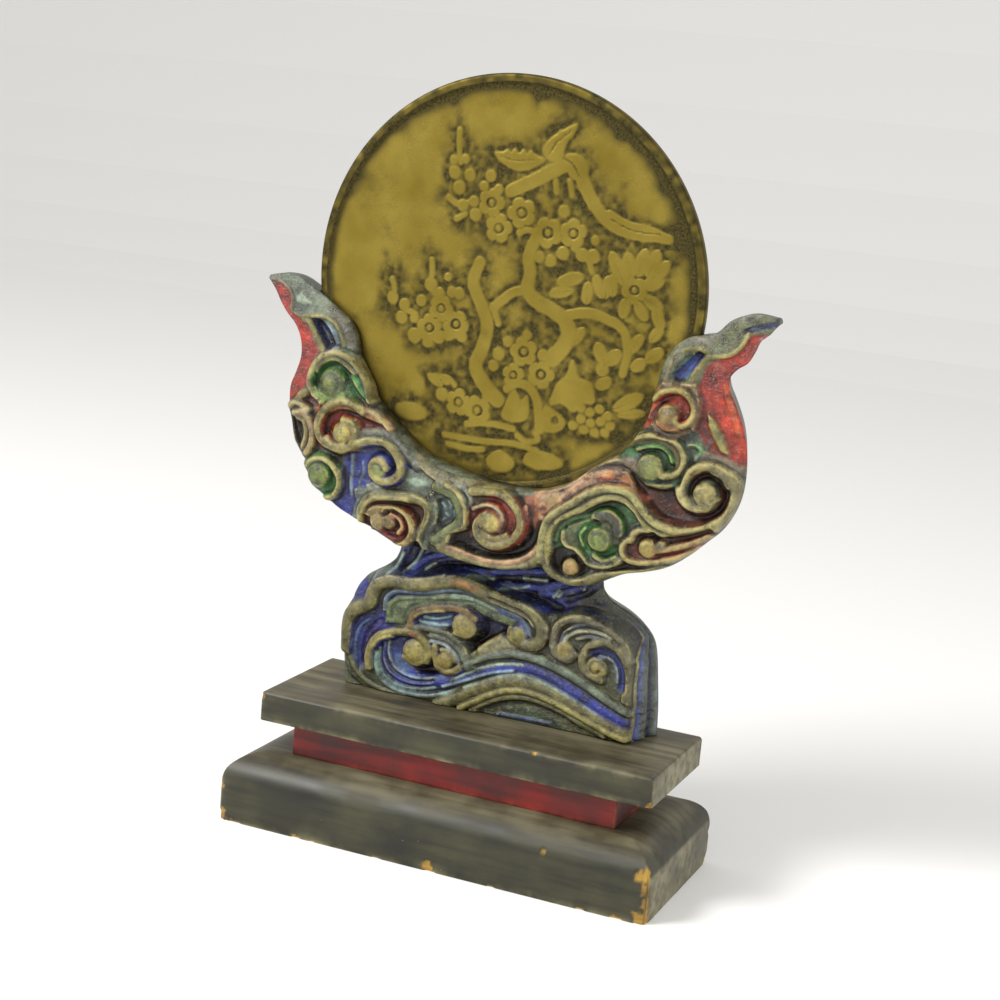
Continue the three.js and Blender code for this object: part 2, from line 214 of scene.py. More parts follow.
def ring(x, z, r, start=0, sweep=360, squash=1, tilt=0, steps=40):
    """Part of an ellipse: r (cos a, squash sin a), turned by tilt, about x, z. Degrees."""
    a = np.radians(start + sweep * np.linspace(0, 1, steps))
    u, v, k = r * np.cos(a), r * squash * np.sin(a), math.radians(tilt)
    return np.stack([x + u * np.cos(k) - v * np.sin(k), z + u * np.sin(k) + v * np.cos(k)], 1)


def coil(x, z, outer, inner, start, turns, steps=60):
    """A spiral: the radius falls evenly from outer to inner while the angle turns."""
    t = np.linspace(0, 1, steps)
    r, a = outer + (inner - outer) * t, np.radians(start + 360 * turns * t)
    return np.stack([x + r * np.cos(a), z + r * np.sin(a)], 1)


def reach(at, line):
    """Distance from each point to a line made of short straight steps."""
    best = np.full(len(at), np.inf)
    for a, b in zip(line[:-1], line[1:]):
        step = b - a
        along = np.clip((at - a) @ step / max(step @ step, 1e-12), 0, 1)
        best = np.minimum(best, ((at - a - along[:, None] * step) ** 2).sum(1))
    return np.sqrt(best)


def inside(at, line):
    """True where a point is inside a closed line: a ray to the right crosses it oddly often."""
    odd = np.zeros(len(at), bool)
    for (ax, az), (bx, bz) in zip(line[:-1], line[1:]):
        spans = (az > at[:, 1]) != (bz > at[:, 1])
        cut = ax + (at[:, 1] - az) * (bx - ax) / (bz - az if bz != az else 1e-12)
        odd ^= spans & (at[:, 0] < cut)
    return odd


def clouding(at, size, seed=0):
    """Smooth noise from -1 to 1: fixed random values on a cubic lattice, size apart, blended
    between its corners."""
    p = np.asarray(at) / size
    cell = np.floor(p).astype(np.int64)
    f = p - cell
    f = f * f * (3 - 2 * f)
    total = np.zeros(len(p))
    for corner in np.ndindex(*(2,) * p.shape[1]):
        key = (cell + corner) @ np.array([374761393, 668265263, 2147483647])[:p.shape[1]]
        key = key + seed * 974711
        key = (key ^ (key >> 13)) * 1274126177
        value = ((key ^ (key >> 16)) & 0xFFFF) / 32767.5 - 1
        total += value * np.prod(np.where(corner, f, 1 - f), axis=1)
    return total


print("a smooth line through 3 points has", len(flow([(0, 0), (1, 1), (2, 0)])), "points")


# %% The relief
class Relief:
    """A face being carved: for every grid point its x, z, its level and its paint, in mm. The
    walls of every stroke slope by SKIRT, mm down for each mm out, as far as FAR. A cord or a
    gouge is given as a list of points, and follows the smooth line through them."""

    SKIRT, FAR = 2.4, 3.0

    def __init__(self, x, z, paint, level=0.0):
        self.shape = x.shape
        self.at = np.stack([x.ravel(), z.ravel()], 1)
        self.level = np.full(len(self.at), float(level))
        self.paint = np.tile(tone(paint), (len(self.at), 1))

    def _near(self, line, far):
        low, high = line.min(0) - far, line.max(0) + far
        ids = np.flatnonzero(((self.at > low) & (self.at < high)).all(1))
        return ids, reach(self.at[ids], line)

    def _brush(self, ids, amount, colour):
        if colour:
            self.paint[ids] += amount[:, None] * (tone(colour) - self.paint[ids])

    def _profile(self, d, width, drop):
        """0 on the line, drop at the width, and a slope of SKIRT outside it."""
        inner = drop * (1 - np.sqrt(np.clip(1 - (d / width) ** 2, 0, 1)))
        return inner + self.SKIRT * np.clip(d - width, 0, None)

    def cord(self, line, width, top, colour=None, drop=None):
        """A rounded ridge: level top - drop (1 - root(1 - (d / width)^2)) where it is higher."""
        ids, d = self._near(drawn(line), width + self.FAR)
        crown = top - self._profile(d, width, width if drop is None else drop)
        wins = crown > self.level[ids]
        self.level[ids] = np.where(wins, crown, self.level[ids])
        self._brush(ids, wins * ease(width, width * 0.75, d), colour)

    def gouge(self, line, width, floor, colour=None, drop=None):
        """A rounded groove: floor + drop (1 - root(1 - (d / width)^2)) where it is lower."""
        ids, d = self._near(drawn(line), width + self.FAR)
        bed = floor + self._profile(d, width, width if drop is None else drop)
        self.level[ids] = np.minimum(bed, self.level[ids])
        self._brush(ids, ease(width, width * 0.7, d), colour)

    def patch(self, outline, level=None, colour=None, soft=0.8):
        """Inside a closed line the level and the paint change, over a soft edge."""
        outline = np.asarray(outline, float)
        outline = np.vstack([outline, outline[:1]])
        ids, d = self._near(outline, soft)
        d = np.where(inside(self.at[ids], outline), d, -d)
        amount = ease(-soft, soft, d)
        if level is not None:
            self.level[ids] += amount * (level - self.level[ids])
        self._brush(ids, ease(-soft / 2, soft / 2, d), colour)

    def boss(self, x, z, r, top, colour=None, drop=None):
        """A round dome, as a cord of no length."""
        self.cord(np.array([(x, z), (x + 0.01, z)]), r, top, colour, drop or r * 0.6)

    def grid(self, values):
        """Values in the shape of the grid."""
        return values.reshape(self.shape + values.shape[1:])


def averaged(g, rounds):
    """Each value of a grid averaged with its four neighbours, as often as asked."""
    for _ in range(rounds):
        p = np.pad(g, ((1, 1), (1, 1)) + ((0, 0),) * (g.ndim - 2), mode="edge")
        g = (p[:-2, 1:-1] + p[2:, 1:-1] + p[1:-1, :-2] + p[1:-1, 2:] + 2 * g) / 6
    return g


print("carving strokes: cord, gouge, patch, boss; walls of 1 to", Relief.SKIRT)

# %% [markdown]
# ## From grids to meshes
#
# Blender stores a mesh as three flat lists: points, corners and faces. Filling them from numpy
# arrays with foreach_set is hundreds of times faster than adding vertices one at a time. A grid
# that closes on itself in one direction is a tube, and a last face at each end makes it a solid.
# The signed volume tells whether the faces point outwards; if it is negative they are turned.

# %% Mesh helpers
def build(name, points, faces, material, attributes=None):
    """A smooth mesh object from points in metres and faces of any size; attributes are values
    for each point, and three numbers a point make a colour."""
    sizes = np.concatenate([np.full(len(f), f.shape[1]) for f in faces])
    corners = np.concatenate([f.ravel() for f in faces])
    starts = np.concatenate([[0], np.cumsum(sizes)[:-1]])
    mesh = bpy.data.meshes.new(name)
    mesh.vertices.add(len(points))
    mesh.loops.add(len(corners))
    mesh.polygons.add(len(sizes))
    mesh.vertices.foreach_set("co", points.astype(np.float32).ravel())
    mesh.loops.foreach_set("vertex_index", corners.astype(np.int32))
    mesh.polygons.foreach_set("loop_start", starts.astype(np.int32))
    mesh.polygons.foreach_set("use_smooth", np.ones(len(sizes), bool))
    mesh.update(calc_edges=True)
    mesh.validate()
    for key, values in (attributes or {}).items():
        if values.ndim == 2:
            layer = mesh.color_attributes.new(key, "FLOAT_COLOR", "POINT")
            layer.data.foreach_set("color", np.c_[values, np.ones(len(values))].ravel())
        else:
            layer = mesh.attributes.new(key, "FLOAT", "POINT")
            layer.data.foreach_set("value", values.ravel())
    mesh.materials.append(material)
    made = bpy.data.objects.new(name, mesh)
    bpy.context.collection.objects.link(made)
    triangles = int((sizes - 2).sum())
    print(f"{name}: {len(points)} points, {triangles} triangles")
    return made


def tube_faces(rows, columns):
    """Quads of a grid whose columns close on themselves, and a face over each end."""
    i, j = np.mgrid[:rows - 1, :columns]
    k = (j + 1) % columns
    quads = np.stack([i * columns + j, i * columns + k, (i + 1) * columns + k,
                      (i + 1) * columns + j], -1).reshape(-1, 4)
    first, last = np.arange(columns)[None, ::-1], np.arange(columns)[None] + (rows - 1) * columns
    return [quads, first, last]


def outward(points, faces):
    """Faces turned so that the volume, the sum of a . (b x c) / 6 over triangles, is positive."""
    volume = 0
    for f in faces:
        a = points[f[:, 0]]
        for i in range(1, f.shape[1] - 1):
            b, c = points[f[:, i]], points[f[:, i + 1]]
            volume += np.einsum("ij,ij->i", a, np.cross(b, c)).sum()
    return faces if volume > 0 else [f[:, ::-1] for f in faces]


LEAN = math.radians(-1.5)


def leaned(x, y, z, origin):
    """Points of the upper assembly in the frame: turned by the lean about Y, then moved."""
    c, s = math.cos(LEAN), math.sin(LEAN)
    return np.stack([origin[0] + x * c + z * s, y, origin[2] - x * s + z * c], -1) * MM


def finish_piece(piece, slot, *nodes):
    """A piece rides on the one body and stands for its CAD nodes, which are hidden. The slot is not
    used.
    """
    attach(piece, "root")
    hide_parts(*nodes)


print("the upper assembly leans by", round(math.degrees(LEAN), 2), "degrees about Y")

# %% [markdown]
# ## The painted wood
#
# The carving is softwood under a thin ground and oil paint: olive gold on the cords, and strong
# green, red and cobalt blue in the hollows, dulled by a century of dust. The carving cells give
# every point its paint, how deep it lies and how sharply it stands out. The material uses them:
# dust and dark wax stay in the hollows, darkened further as painted shade, and the paint has
# rubbed pale on what stands out, which also serves as a painted highlight.

# %% Painted wood
def painted_wood():
    """Old oil paint on carved softwood: a non-metal of IOR 1.5, with a patchy gloss. Patches of
    paint are 6 mm wide, dirt 3 mm and scuffs 2 mm. Flakes are 0.8 mm and the roughness of the
    ground 1.1 mm: the real ones are finer, and are drawn this coarse so that they show. Scuffs
    lie along the grain, which runs across, so their pattern is stretched that way."""
    made, tree, shader = new_material("painted_wood")
    place = node(tree, "ShaderNodeTexCoord").outputs["Object"]
    paint = node(tree, "ShaderNodeVertexColor", layer_name="paint")
    # the three attributes: dark dirt and painted shade in the hollows, rubbed paint and a painted
    # highlight on the ridges, and how much each part has been handled
    dirt_and_shade, edge, handled = (node(tree, "ShaderNodeAttribute", attribute_name=name).outputs["Fac"]
                            for name in ("dirt_and_shade", "edge", "handled"))
    across = node(tree, "ShaderNodeMapping", {"Vector": place, "Scale": (0.75, 1, 1.2)})
    patchy, dirt, scuff, rough, flake = (
        node(tree, "ShaderNodeTexNoise", {"Vector": where, "Scale": 1 / (size * MM),
                                          "Detail": detail, "Roughness": 0.65})
        for where, size, detail in ((place, 6.25, 6), (place, 3.33, 4), (across, 2.38, 5),
                                    (place, 1.11, 3), (place, 0.77, 5)))
    tint = node(tree, "ShaderNodeValToRGB", {"Fac": patchy},
                [(0.3, "#58554b"), (0.5, "#b6b2a6"), (0.7, "#fffcf0")])
    colour = node(tree, "ShaderNodeMix", {0: 1.0, 6: paint, 7: tint}, data_type="RGBA",
                  blend_type="MULTIPLY").outputs[2]
    rubbed_and_highlit = node(tree, "ShaderNodeMath", {0: edge, 1: scuff}, operation="MULTIPLY")
    # each layer of age, two of them also painted light: how it is laid on, the pattern, where the
    # pattern starts and is full, how strong it is there, which parts have it, and its colour
    layers = [("SCREEN", scuff, 0.55, 0.68, 0.32, handled, "#717c78"),  # pale ground in scuffs
              ("MIX", flake, 0.61, 0.67, 0.35, handled, "#b3b396"),     # and where it has flaked
              ("MIX", rubbed_and_highlit, 0.32, 0.5, 0.45, 1.0, "#b5a666"),         # old gold rubbed on the ridges, and a painted highlight
              ("MIX", dirt, 0.58, 0.68, 0.6, 1.0, "#2a2318"),           # spots of dirt
              ("MIX", dirt_and_shade, 0.15, 0.85, 0.85, 1.0, "#1a1009")]         # wax and painted shade in the hollows
    for kind, pattern, low, high, most, parts, over in layers:
        amount = node(tree, "ShaderNodeMapRange", {"Value": pattern, "From Min": low,
                                                   "From Max": high, "To Max": most})
        amount = node(tree, "ShaderNodeMath", {0: amount, 1: parts}, operation="MULTIPLY")
        colour = node(tree, "ShaderNodeMix", {0: amount, 6: colour, 7: tone(over, 1)},
                      data_type="RGBA", blend_type=kind).outputs[2]
    gloss = node(tree, "ShaderNodeMapRange", {"Value": patchy, "From Min": 0.3, "From Max": 0.7,
                                              "To Min": 0.22, "To Max": 0.5})
    uneven = node(tree, "ShaderNodeMath", {0: scuff, 1: rough}, operation="ADD")
    bump = node(tree, "ShaderNodeBump", {"Height": uneven, "Strength": 0.75,
                                         "Distance": 0.6 * MM})
    connect(tree, shader, {"Base Color": colour, "Roughness": gloss, "Normal": bump})
    return made


PAINTED = painted_wood()
RELIEF_STEP, BACK_HANDLED = 2.4, 0.15


def wear_and_painted_light(relief):
    """How deep and how sharp each point is, from 0 to 1. Dirt and painted shade lie where the level
    is below the level averaged over a few points round it, and where that is below the level
    averaged over many. Paint rubs off where the level is above the near average, and the pale rub
    there is also a painted highlight."""
    level = averaged(relief.grid(relief.level), 1)
    near = averaged(level, 4)
    wide = averaged(near, 24)
    dirt_and_shade = np.clip(0.3 * (wide - level) / RELIEF_STEP, 0, 0.4)
    dirt_and_shade = dirt_and_shade + np.clip((near - level) / 0.45, 0, 0.8)
    # pale rub on what stands out: wear, and a painted highlight along the ridges
    edge = np.clip((level - near) / 0.28, 0, 1)
    return level, np.clip(dirt_and_shade, 0, 1), edge


def carved(name, loop, origin, paint, deep, ridges_and_highlights, handled):
    """A painted solid from a grid of points that closes on itself along its rows."""
    points = leaned(*(loop[..., i].ravel() for i in range(3)), origin)
    faces = outward(points, tube_faces(*loop.shape[:2]))
    return build(name, points, faces, PAINTED,
                 {"paint": paint.reshape(-1, 3), "dirt_and_shade": deep.ravel(), "edge": ridges_and_highlights.ravel(),
                  "handled": handled.ravel()})


print("painted wood:", len(PAINTED.node_tree.nodes), "nodes")

# %% [markdown]
# ## The crescent of clouds
#
# The upper half of the carving is a crescent that ends in two horns. It is drawn as stations:
# pairs of points, one on the outer edge and one on the inner, where the mirror sits. Between
# them run straight lines, and along the stations run smooth curves, so two numbers reach every
# place. The section is a loop: the carved face, the lip, the groove that holds the disc,
# the plain back, and the outer side. The face is a relief, and every scroll of cloud is a pad,
# a sunk channel, a cord that winds inward, and a boss in the middle.

# %% The crescent's form
MIRROR = [(a + b) / 2 / MM for a, b in zip(*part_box("mirror"))]
MIRROR_RADIUS = (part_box("mirror")[1][0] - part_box("mirror")[0][0]) / 2 / MM
DISC_FRONT, DISC_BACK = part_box("mirror")[0][1] / MM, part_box("mirror")[1][1] / MM
GROOVE_RADIUS, GROOVE_GAP = MIRROR_RADIUS + 0.35, 0.4
CLOUD_CENTRE = (MIRROR[0], 0, MIRROR[2])

# outer x, z and inner x, z, from the tip of the left horn round to the tip of the right one
STATIONS = [
    (-108.8, -6.4, -108.4, -5.2), (-105, -11, -102, -4), (-102, -16, -95, -4.6),
    (-98.5, -20.5, -88, -8), (-94, -25, -81, -12), (-91, -31, -75.5, -15.8),
    (-90.3, -38, -69, -20.3), (-92.3, -45, -65.4, -25.5), (-94.5, -51, -64, -30),
    (-94.5, -58, -63, -35), (-92.7, -66, -60.5, -39), (-90.5, -74, -58, -43),
    (-86.2, -80, -55.5, -47.5), (-83.4, -86, -54, -52), (-81, -92, -50, -55.5),
    (-74.6, -96.4, -45, -60), (-68.3, -100.6, -40, -64.5), (-60, -104, -35, -68.5),
    (-52, -106.5, -30, -71.8), (-46, -109.5, -25, -74), (-38, -112.3, -20, -75.3),
    (-30, -112.5, -15, -76.8), (-18, -113.3, -10, -78.2), (-5, -115.3, -2, -79.8),
    (8, -116, 6, -80.5), (20, -114.2, 14, -81), (28, -112.3, 20, -81.1), (33, -115.8, 25.5, -80),
    (41, -118, 30, -78.4), (49, -116.6, 35, -76), (56, -113, 39.5, -73), (63, -109.8, 43.5, -69.6),
    (72, -107.6, 48, -66.6), (80, -104.6, 52.5, -63.4), (88, -99, 56.8, -60),
    (95, -92.5, 60.6, -56), (101.5, -86, 63.5, -51), (106, -78, 66, -46), (108.3, -69, 67.3, -40.5),
    (108.3, -57, 68, -36), (106.2, -47, 68.8, -31), (102.5, -38.2, 69.6, -27),
    (99, -31.5, 71.2, -21.8), (98.4, -26.5, 74.4, -16.6), (101, -22.8, 79.4, -12.6),
    (105, -19.8, 85, -11), (107.6, -15, 91, -9.4), (109.2, -11, 97, -3.8), (112.6, -8, 105, -0.9),
    (114.5, -5.5, 113.8, -1.8),
]
ALONG, ACROSS = 640, 84
SIDE_ROWS, BACK_ROWS = 6, 30


def spread_along(line, count):
    """Rows of a dense line picked at even distances along its middle."""
    middle = (line[:, :2] + line[:, 2:]) / 2
    run = np.r_[0, np.cumsum(np.hypot(*np.diff(middle, axis=0).T))]
    want = np.linspace(0, run[-1], count)
    return np.stack([np.interp(want, run, column) for column in line.T], 1)


stations = spread_along(flow(STATIONS), ALONG)


def fullness(x, z):
    """0 at the tips of the horns and 1 below the mirror: the root of how far down z points."""
    return np.sqrt(np.clip(-z, 0, None) / np.hypot(x, z))


w = np.linspace(0, 1, ACROSS)[None, :]
face_x = stations[:, :1] + (stations[:, 2:3] - stations[:, :1]) * w
face_z = stations[:, 1:2] + (stations[:, 3:4] - stations[:, 1:2]) * w
print("stations:", len(STATIONS), "grid:", face_x.shape)

# %% Painting the crescent, left half
clouds = Relief(face_x, face_z, "#6f7a6a")
# the horn: red outside, grey green along the top, a scooped blue leaf above the first scroll
clouds.patch([(-112, -6.9), (-105, -7.4), (-101.5, -8.8), (-98, -11), (-96.2, -14), (-96.5, -18),
              (-94, -20.4), (-90, -21.4), (-87, -23.5), (-85.5, -27), (-84.5, -30.5),
              (-82, -32.8), (-81, -35.5), (-83.8, -39), (-84.6, -43), (-84.3, -48), (-88, -52),
              (-91, -56), (-96, -59), (-105, -58), (-105, -30), (-113, -12)], -0.6, "#a82e1e", 1)
# a darker grey green next to the red, below the tip, is painted shade
clouds.patch([(-104, -7.4), (-99, -8.4), (-95, -11), (-95.4, -16), (-93, -19.6), (-88, -19.4),
              (-87, -16), (-93, -10), (-98, -7)], None, "#56625a", 2.5)
clouds.cord([(-108.3, -6.9), (-104, -7.2), (-100, -9), (-96.8, -12), (-96, -15.5), (-96.3, -18.5),
             (-93, -20.5), (-88.5, -21.2)], 0.9, 0.8, "#93806a")
clouds.patch([(-94.5, -12.8), (-92, -11.2), (-89, -13.5), (-86.5, -15.3), (-90, -16), (-94, -15)],
             0.4, "#a3b3a4", 1.2)
clouds.patch([(-80, -15), (-71, -18), (-66, -24), (-63, -32), (-67, -34), (-70, -28), (-74, -22)],
             None, "#686350", 2)
clouds.patch([(-70, -30.5), (-66, -31.5), (-61, -37.5), (-66, -36), (-69, -34)], 0.3, "#8da394",
             1.2)
clouds.patch([(-87, -22.4), (-84.5, -21.3), (-79.5, -22), (-75, -24.2), (-71.8, -28),
              (-70.4, -32), (-71.5, -33.6), (-77.2, -33.6), (-80, -28)], -1.0, "#7d93a0", 0.9)
# the deep cut along the leaf's left side is painted dark navy, as painted shade
clouds.gouge([(-84.3, -22.8), (-79.6, -27), (-76, -32.5)], 2.8, -3.6, "#232b5c", 2.8)
clouds.cord([(-91, -21.2), (-86, -20.3), (-80, -20.1), (-75, -22), (-71.4, -25.8), (-69.2, -31)],
            1.0, 1.1, "#8a8455")
clouds.cord([(-89.5, -22), (-86.6, -23.4), (-83.4, -27.8), (-80.6, -31.5), (-79, -34.5)], 1.5,
            0.9, "#9a9358")

# the green scroll at the root of the horn
clouds.patch([(-83.2, -50), (-83.2, -43), (-80, -37.6), (-75, -34), (-70, -33.4), (-64.5, -35.6),
              (-59.5, -39.6), (-55, -47.5), (-53, -53.5), (-57, -54.6), (-64, -54), (-70, -55.4),
              (-76, -57), (-80, -54.6)], 1.9, "#3f6428")
clouds.gouge(ring(-71.8, -47, 8.4, 10, 205), 1.9, 0.4, "#1f7a22")
clouds.gouge([(-66.5, -41.2), (-63.6, -45), (-61.3, -49), (-57.6, -52.8)], 2.4, 0, "#1c7a28")
clouds.cord([(-62.8, -43.4), (-60, -47.3), (-56.2, -51.4)], 1.3, 2.6, "#4c9a4c")
clouds.cord([(-81.2, -50), (-77, -52.6), (-71, -53.8), (-66.4, -51.4)], 1.7, 3.4, "#7f9a4a")
clouds.cord([(-79.5, -52.6), (-75.5, -55)], 1.4, 3.2, "#7fa04a")
clouds.boss(-72, -47, 6.4, 4.7, "#69763f", 3.2)
clouds.gouge(ring(-72.6, -47.2, 4.3, -40, 260), 0.8, 3.5, "#46532e", 0.6)
clouds.boss(-73.4, -47.3, 3.2, 5.2, "#86914a")
clouds.cord([(-76, -56.3), (-79.6, -54), (-82, -50.5), (-82.7, -46.5), (-81.8, -42), (-79.3, -38),
             (-75.5, -35.2), (-71, -34.1), (-67, -35.2), (-63.4, -37.2), (-60.4, -39.9),
             (-57.7, -43.6), (-55.4, -48.5), (-54.4, -52.5)], 1.4, 4.4, "#a39c6a")
clouds.cord([(-80, -42.4), (-77.4, -38.9), (-73.6, -36.9), (-69.6, -37.1), (-65.6, -39.2),
             (-62, -42)], 1.0, 3.5, "#77714a")
clouds.patch([(-91.5, -56), (-88.5, -52.3), (-83.5, -50.3), (-81.5, -52.3), (-83, -54.5),
              (-86.5, -57.5)], 1.6, "#96894f")
clouds.patch([(-86.5, -55.6), (-82.5, -52.9), (-77.6, -55.9), (-79.5, -58.3), (-84.5, -58.3)],
             -0.6, "#7c2c20")

# the red scroll with a tail along the lip
clouds.patch([(-80.5, -58), (-75, -56.2), (-70, -53.2), (-62, -52.6), (-55, -55), (-46.5, -59.5),
              (-42.5, -64), (-50, -67), (-57, -69), (-58, -75.5), (-66, -77), (-74, -76),
              (-79.5, -70)], 1.0, "#a8693f")
clouds.patch([(-80.5, -61.5), (-77.8, -60.6), (-78, -66.5), (-80.5, -66.5)], -0.4, "#8a3222")
clouds.patch([(-79.5, -67), (-76.8, -68), (-73, -73.4), (-66, -75.6), (-74, -77.4), (-79.5, -75)],
             -0.2, "#a33c28")
clouds.cord([(-45.6, -62.9), (-50, -60.3), (-56, -58.9), (-63, -57.2), (-69, -57.6),
             (-73.4, -60.6)], 1.5, 2.8, "#8f6234")
clouds.gouge([(-45, -65), (-50, -63.9), (-56, -62.3), (-62, -60.4), (-67, -60.1), (-71.5, -62.6),
              (-73.8, -66.2), (-72.3, -69.4)], 2.6, -0.8, "#a52a1c")
clouds.cord([(-60.4, -61.5), (-57.8, -65.5), (-57.8, -70.5), (-61, -74.4)], 1.4, 2.8, "#7f7040")
clouds.cord([(-56.5, -57.3), (-60.5, -54.9), (-65.5, -53.9), (-70.3, -55.1), (-74.1, -58.1),
             (-76.7, -62.2), (-77.4, -66.2), (-76.1, -69.9), (-73.3, -72.5), (-69.5, -74.3),
             (-65.5, -74.5), (-61.7, -72.9), (-59.5, -69.6), (-59.3, -65.7), (-61.4, -62.6),
             (-65, -61.9)], 1.7, 4.5, "#a29a5e")
clouds.boss(-65, -67.2, 4.7, 5.4, "#b0a458")
clouds.cord([(-72.6, -70.8), (-69, -72.8), (-64, -72.4)], 1.5, 4.7, "#b5aa6e")
clouds.cord([(-57, -55.8), (-52, -57.6), (-48, -60.1), (-44.3, -63.4)], 0.9, 3.2, "#a99a78")

# the brown shell and the green scroll on the outer edge
clouds.patch(ring(-86.3, -68.8, 12.8, squash=0.56, tilt=-72), 1.0, "#85784f")
clouds.gouge([(-90, -65), (-88.2, -70.5), (-86.8, -75.5)], 3.0, -2.4, "#3b3226", 2.6)
clouds.cord([(-93.4, -58.8), (-93.8, -64), (-92, -70.5), (-89, -76), (-85, -79.5)], 1.1, 2.2,
            "#a8a096")
clouds.cord([(-92.6, -59), (-89.5, -57.2), (-86, -58.2), (-83, -59.7)], 1.4, 3.2, "#b5a680")
clouds.cord([(-89.5, -61.6), (-86, -61.1), (-83, -62.5), (-81, -65.8), (-79.9, -70),
             (-80.6, -74.5), (-82.6, -78)], 1.5, 3.8, "#a8946c")
clouds.cord([(-88, -63.5), (-85.2, -64.2), (-83.6, -67.5), (-83.6, -72), (-85, -76)], 1.2, 2.8,
            "#8c8052")
clouds.patch([(-80, -75.8), (-72, -75.2), (-64.4, -77), (-66, -82.6), (-72, -79), (-79, -78.6)],
             0, "#4a6a3c")
clouds.patch(ring(-75.3, -87, 10.2), 1.8, "#3d6a33")
clouds.patch([(-73, -77.4), (-66, -77.6), (-65, -82.6), (-70, -80.2)], -0.8, "#33492f")
clouds.gouge([(-71, -82), (-68.6, -86), (-69.4, -91), (-73.4, -94), (-78, -92.8)], 1.9, 0.4,
             "#1f8a2c")
clouds.boss(-76, -86.6, 5.6, 5, "#7d8f42", 3.2)
clouds.gouge(ring(-76.2, -86.8, 3.4, 60, 250), 0.7, 3.9, "#56682f", 0.5)
clouds.cord([(-81.6, -83.4), (-79.4, -80.6), (-75, -79.4), (-70.6, -80.6), (-67.4, -83.6),
             (-65.6, -87), (-66, -91.2), (-68.4, -94.7), (-73, -96.6)], 1.2, 4.2, "#9aa066")
clouds.cord([(-82.4, -82), (-83.6, -86), (-82.5, -91), (-79.4, -94.6)], 1.3, 3.4, "#6b7444")

# the blue field and its olive scroll
clouds.patch([(-65.4, -77), (-61, -74.8), (-52, -74.3), (-49, -73.3), (-37, -76), (-28.5, -77),
              (-32, -82.5), (-38, -86.7), (-46, -88.6), (-54, -89.6), (-58.6, -90), (-59, -96),
              (-61, -104), (-68, -103), (-74, -99), (-66.5, -95.4), (-64.3, -90), (-64.8, -84)],
             -1.6, "#3442ae")
clouds.cord([(-61.9, -75.6), (-61.4, -83), (-61.8, -88), (-61, -93.5)], 0.9, -0.9, "#93a9c4", 0.5)
clouds.cord([(-56.5, -79), (-56, -84), (-57.8, -88)], 0.7, -1.0, "#7f9cc8", 0.4)
clouds.patch([(-54.6, -88.5), (-50, -85.8), (-46, -87.2), (-43, -89.4), (-52, -90.6)], 0.4,
             "#a9b3a8")
clouds.cord([(-58.4, -91.5), (-57.2, -97), (-58.8, -104.5)], 1.5, 0.3, "#5c6c86")
clouds.cord([(-60, -67.4), (-54, -66.1), (-47, -65.6), (-40, -68), (-34.5, -72.5), (-30, -77)],
            2.4, 2.2, "#7c8478")
clouds.patch([(-42, -68.6), (-37, -69.8), (-33.5, -74), (-36.6, -74.2)], None, "#a5a99f", 1)
clouds.gouge([(-54, -72.8), (-49, -72.2), (-44, -74.6), (-41.6, -78), (-42.6, -81)], 2.2, -1.2,
             "#3c4eb0")
clouds.cord([(-61, -72), (-56, -70), (-51, -68.7), (-46, -68.5), (-42, -70.5), (-39, -73.5),
             (-37, -77.5), (-37, -80.5), (-39, -83), (-42, -84.7), (-46, -85), (-49.5, -83),
             (-50.3, -79.5), (-48.5, -77), (-46, -77), (-44, -79.5)], 1.9, 4.2, "#9c9458")
clouds.boss(-47, -80.6, 3.9, 4.6, "#8f9a5c")
clouds.gouge([(-48.6, -78), (-46, -78.4), (-44.8, -80.8)], 0.6, 3.6, "#5a6240", 0.4)
# a pale line along the top of the scroll's cord is a painted highlight
clouds.cord([(-58, -70), (-52, -68), (-46, -67.8)], 0.8, 4.6, "#b9b684")

# the gold frame with a brown and red scroll
clouds.patch([(-54.6, -105), (-53, -97), (-50.5, -94), (-44, -93), (-38, -92.4), (-32, -91.6),
              (-27, -92.4), (-25.4, -97), (-27.6, -103), (-29.5, -109), (-34, -114), (-44, -114),
              (-52, -110)], -1.4, "#6b3020")
clouds.cord([(-54.3, -106.5), (-54.9, -100), (-53.4, -96), (-50.8, -93.2), (-47.5, -91.8),
             (-42, -91.1), (-36, -90.6), (-32.3, -90.5), (-28, -90.7), (-24.2, -92.5), (-23, -96),
             (-23.8, -100.5), (-25.8, -104.5), (-26.2, -110)], 2.3, 3.4, "#7f7d4e")
# a pale line along the frame's upper edge is a painted highlight
clouds.cord([(-53.7, -99.5), (-51.8, -95.3), (-48.5, -92.7), (-42, -91.7), (-36, -91.1),
             (-32.4, -91.2)], 1.1, 4.2, "#b0a76a")
clouds.cord([(-51, -101), (-49, -98.2), (-45, -96.9), (-38.5, -96.6), (-34, -98), (-30.9, -101),
             (-29.9, -104.8), (-31.2, -108.3), (-34.8, -110.9), (-39.5, -111.8), (-44.5, -110.6),
             (-49.5, -107.8)], 1.8, 4.3, "#977f4a")
clouds.gouge([(-39, -98.5), (-35, -100.5), (-33.7, -104.5), (-36.5, -107.8), (-41.5, -108.6),
              (-47, -107)], 1.9, 0, "#a83626")
clouds.gouge([(-41, -99), (-37.5, -100.8), (-37.3, -103.8), (-39.3, -105.5)], 1.6, -0.6,
             "#6e2a1e")
clouds.cord([(-40.5, -98.6), (-36.4, -100), (-34.8, -103.3), (-36.6, -106.2)], 0.8, 3.0,
            "#c98a72")
clouds.boss(-41.2, -101.8, 3.0, 4.4, "#94804c")
clouds.boss(-46, -102.3, 3.8, 5, "#a0905a")
clouds.patch([(-53.4, -100.5), (-50, -101), (-50, -104.5), (-54, -105)], -0.8, "#8f4436")
print("raised above the bare face:", round(100 * float((clouds.level > 0).mean())), "%")

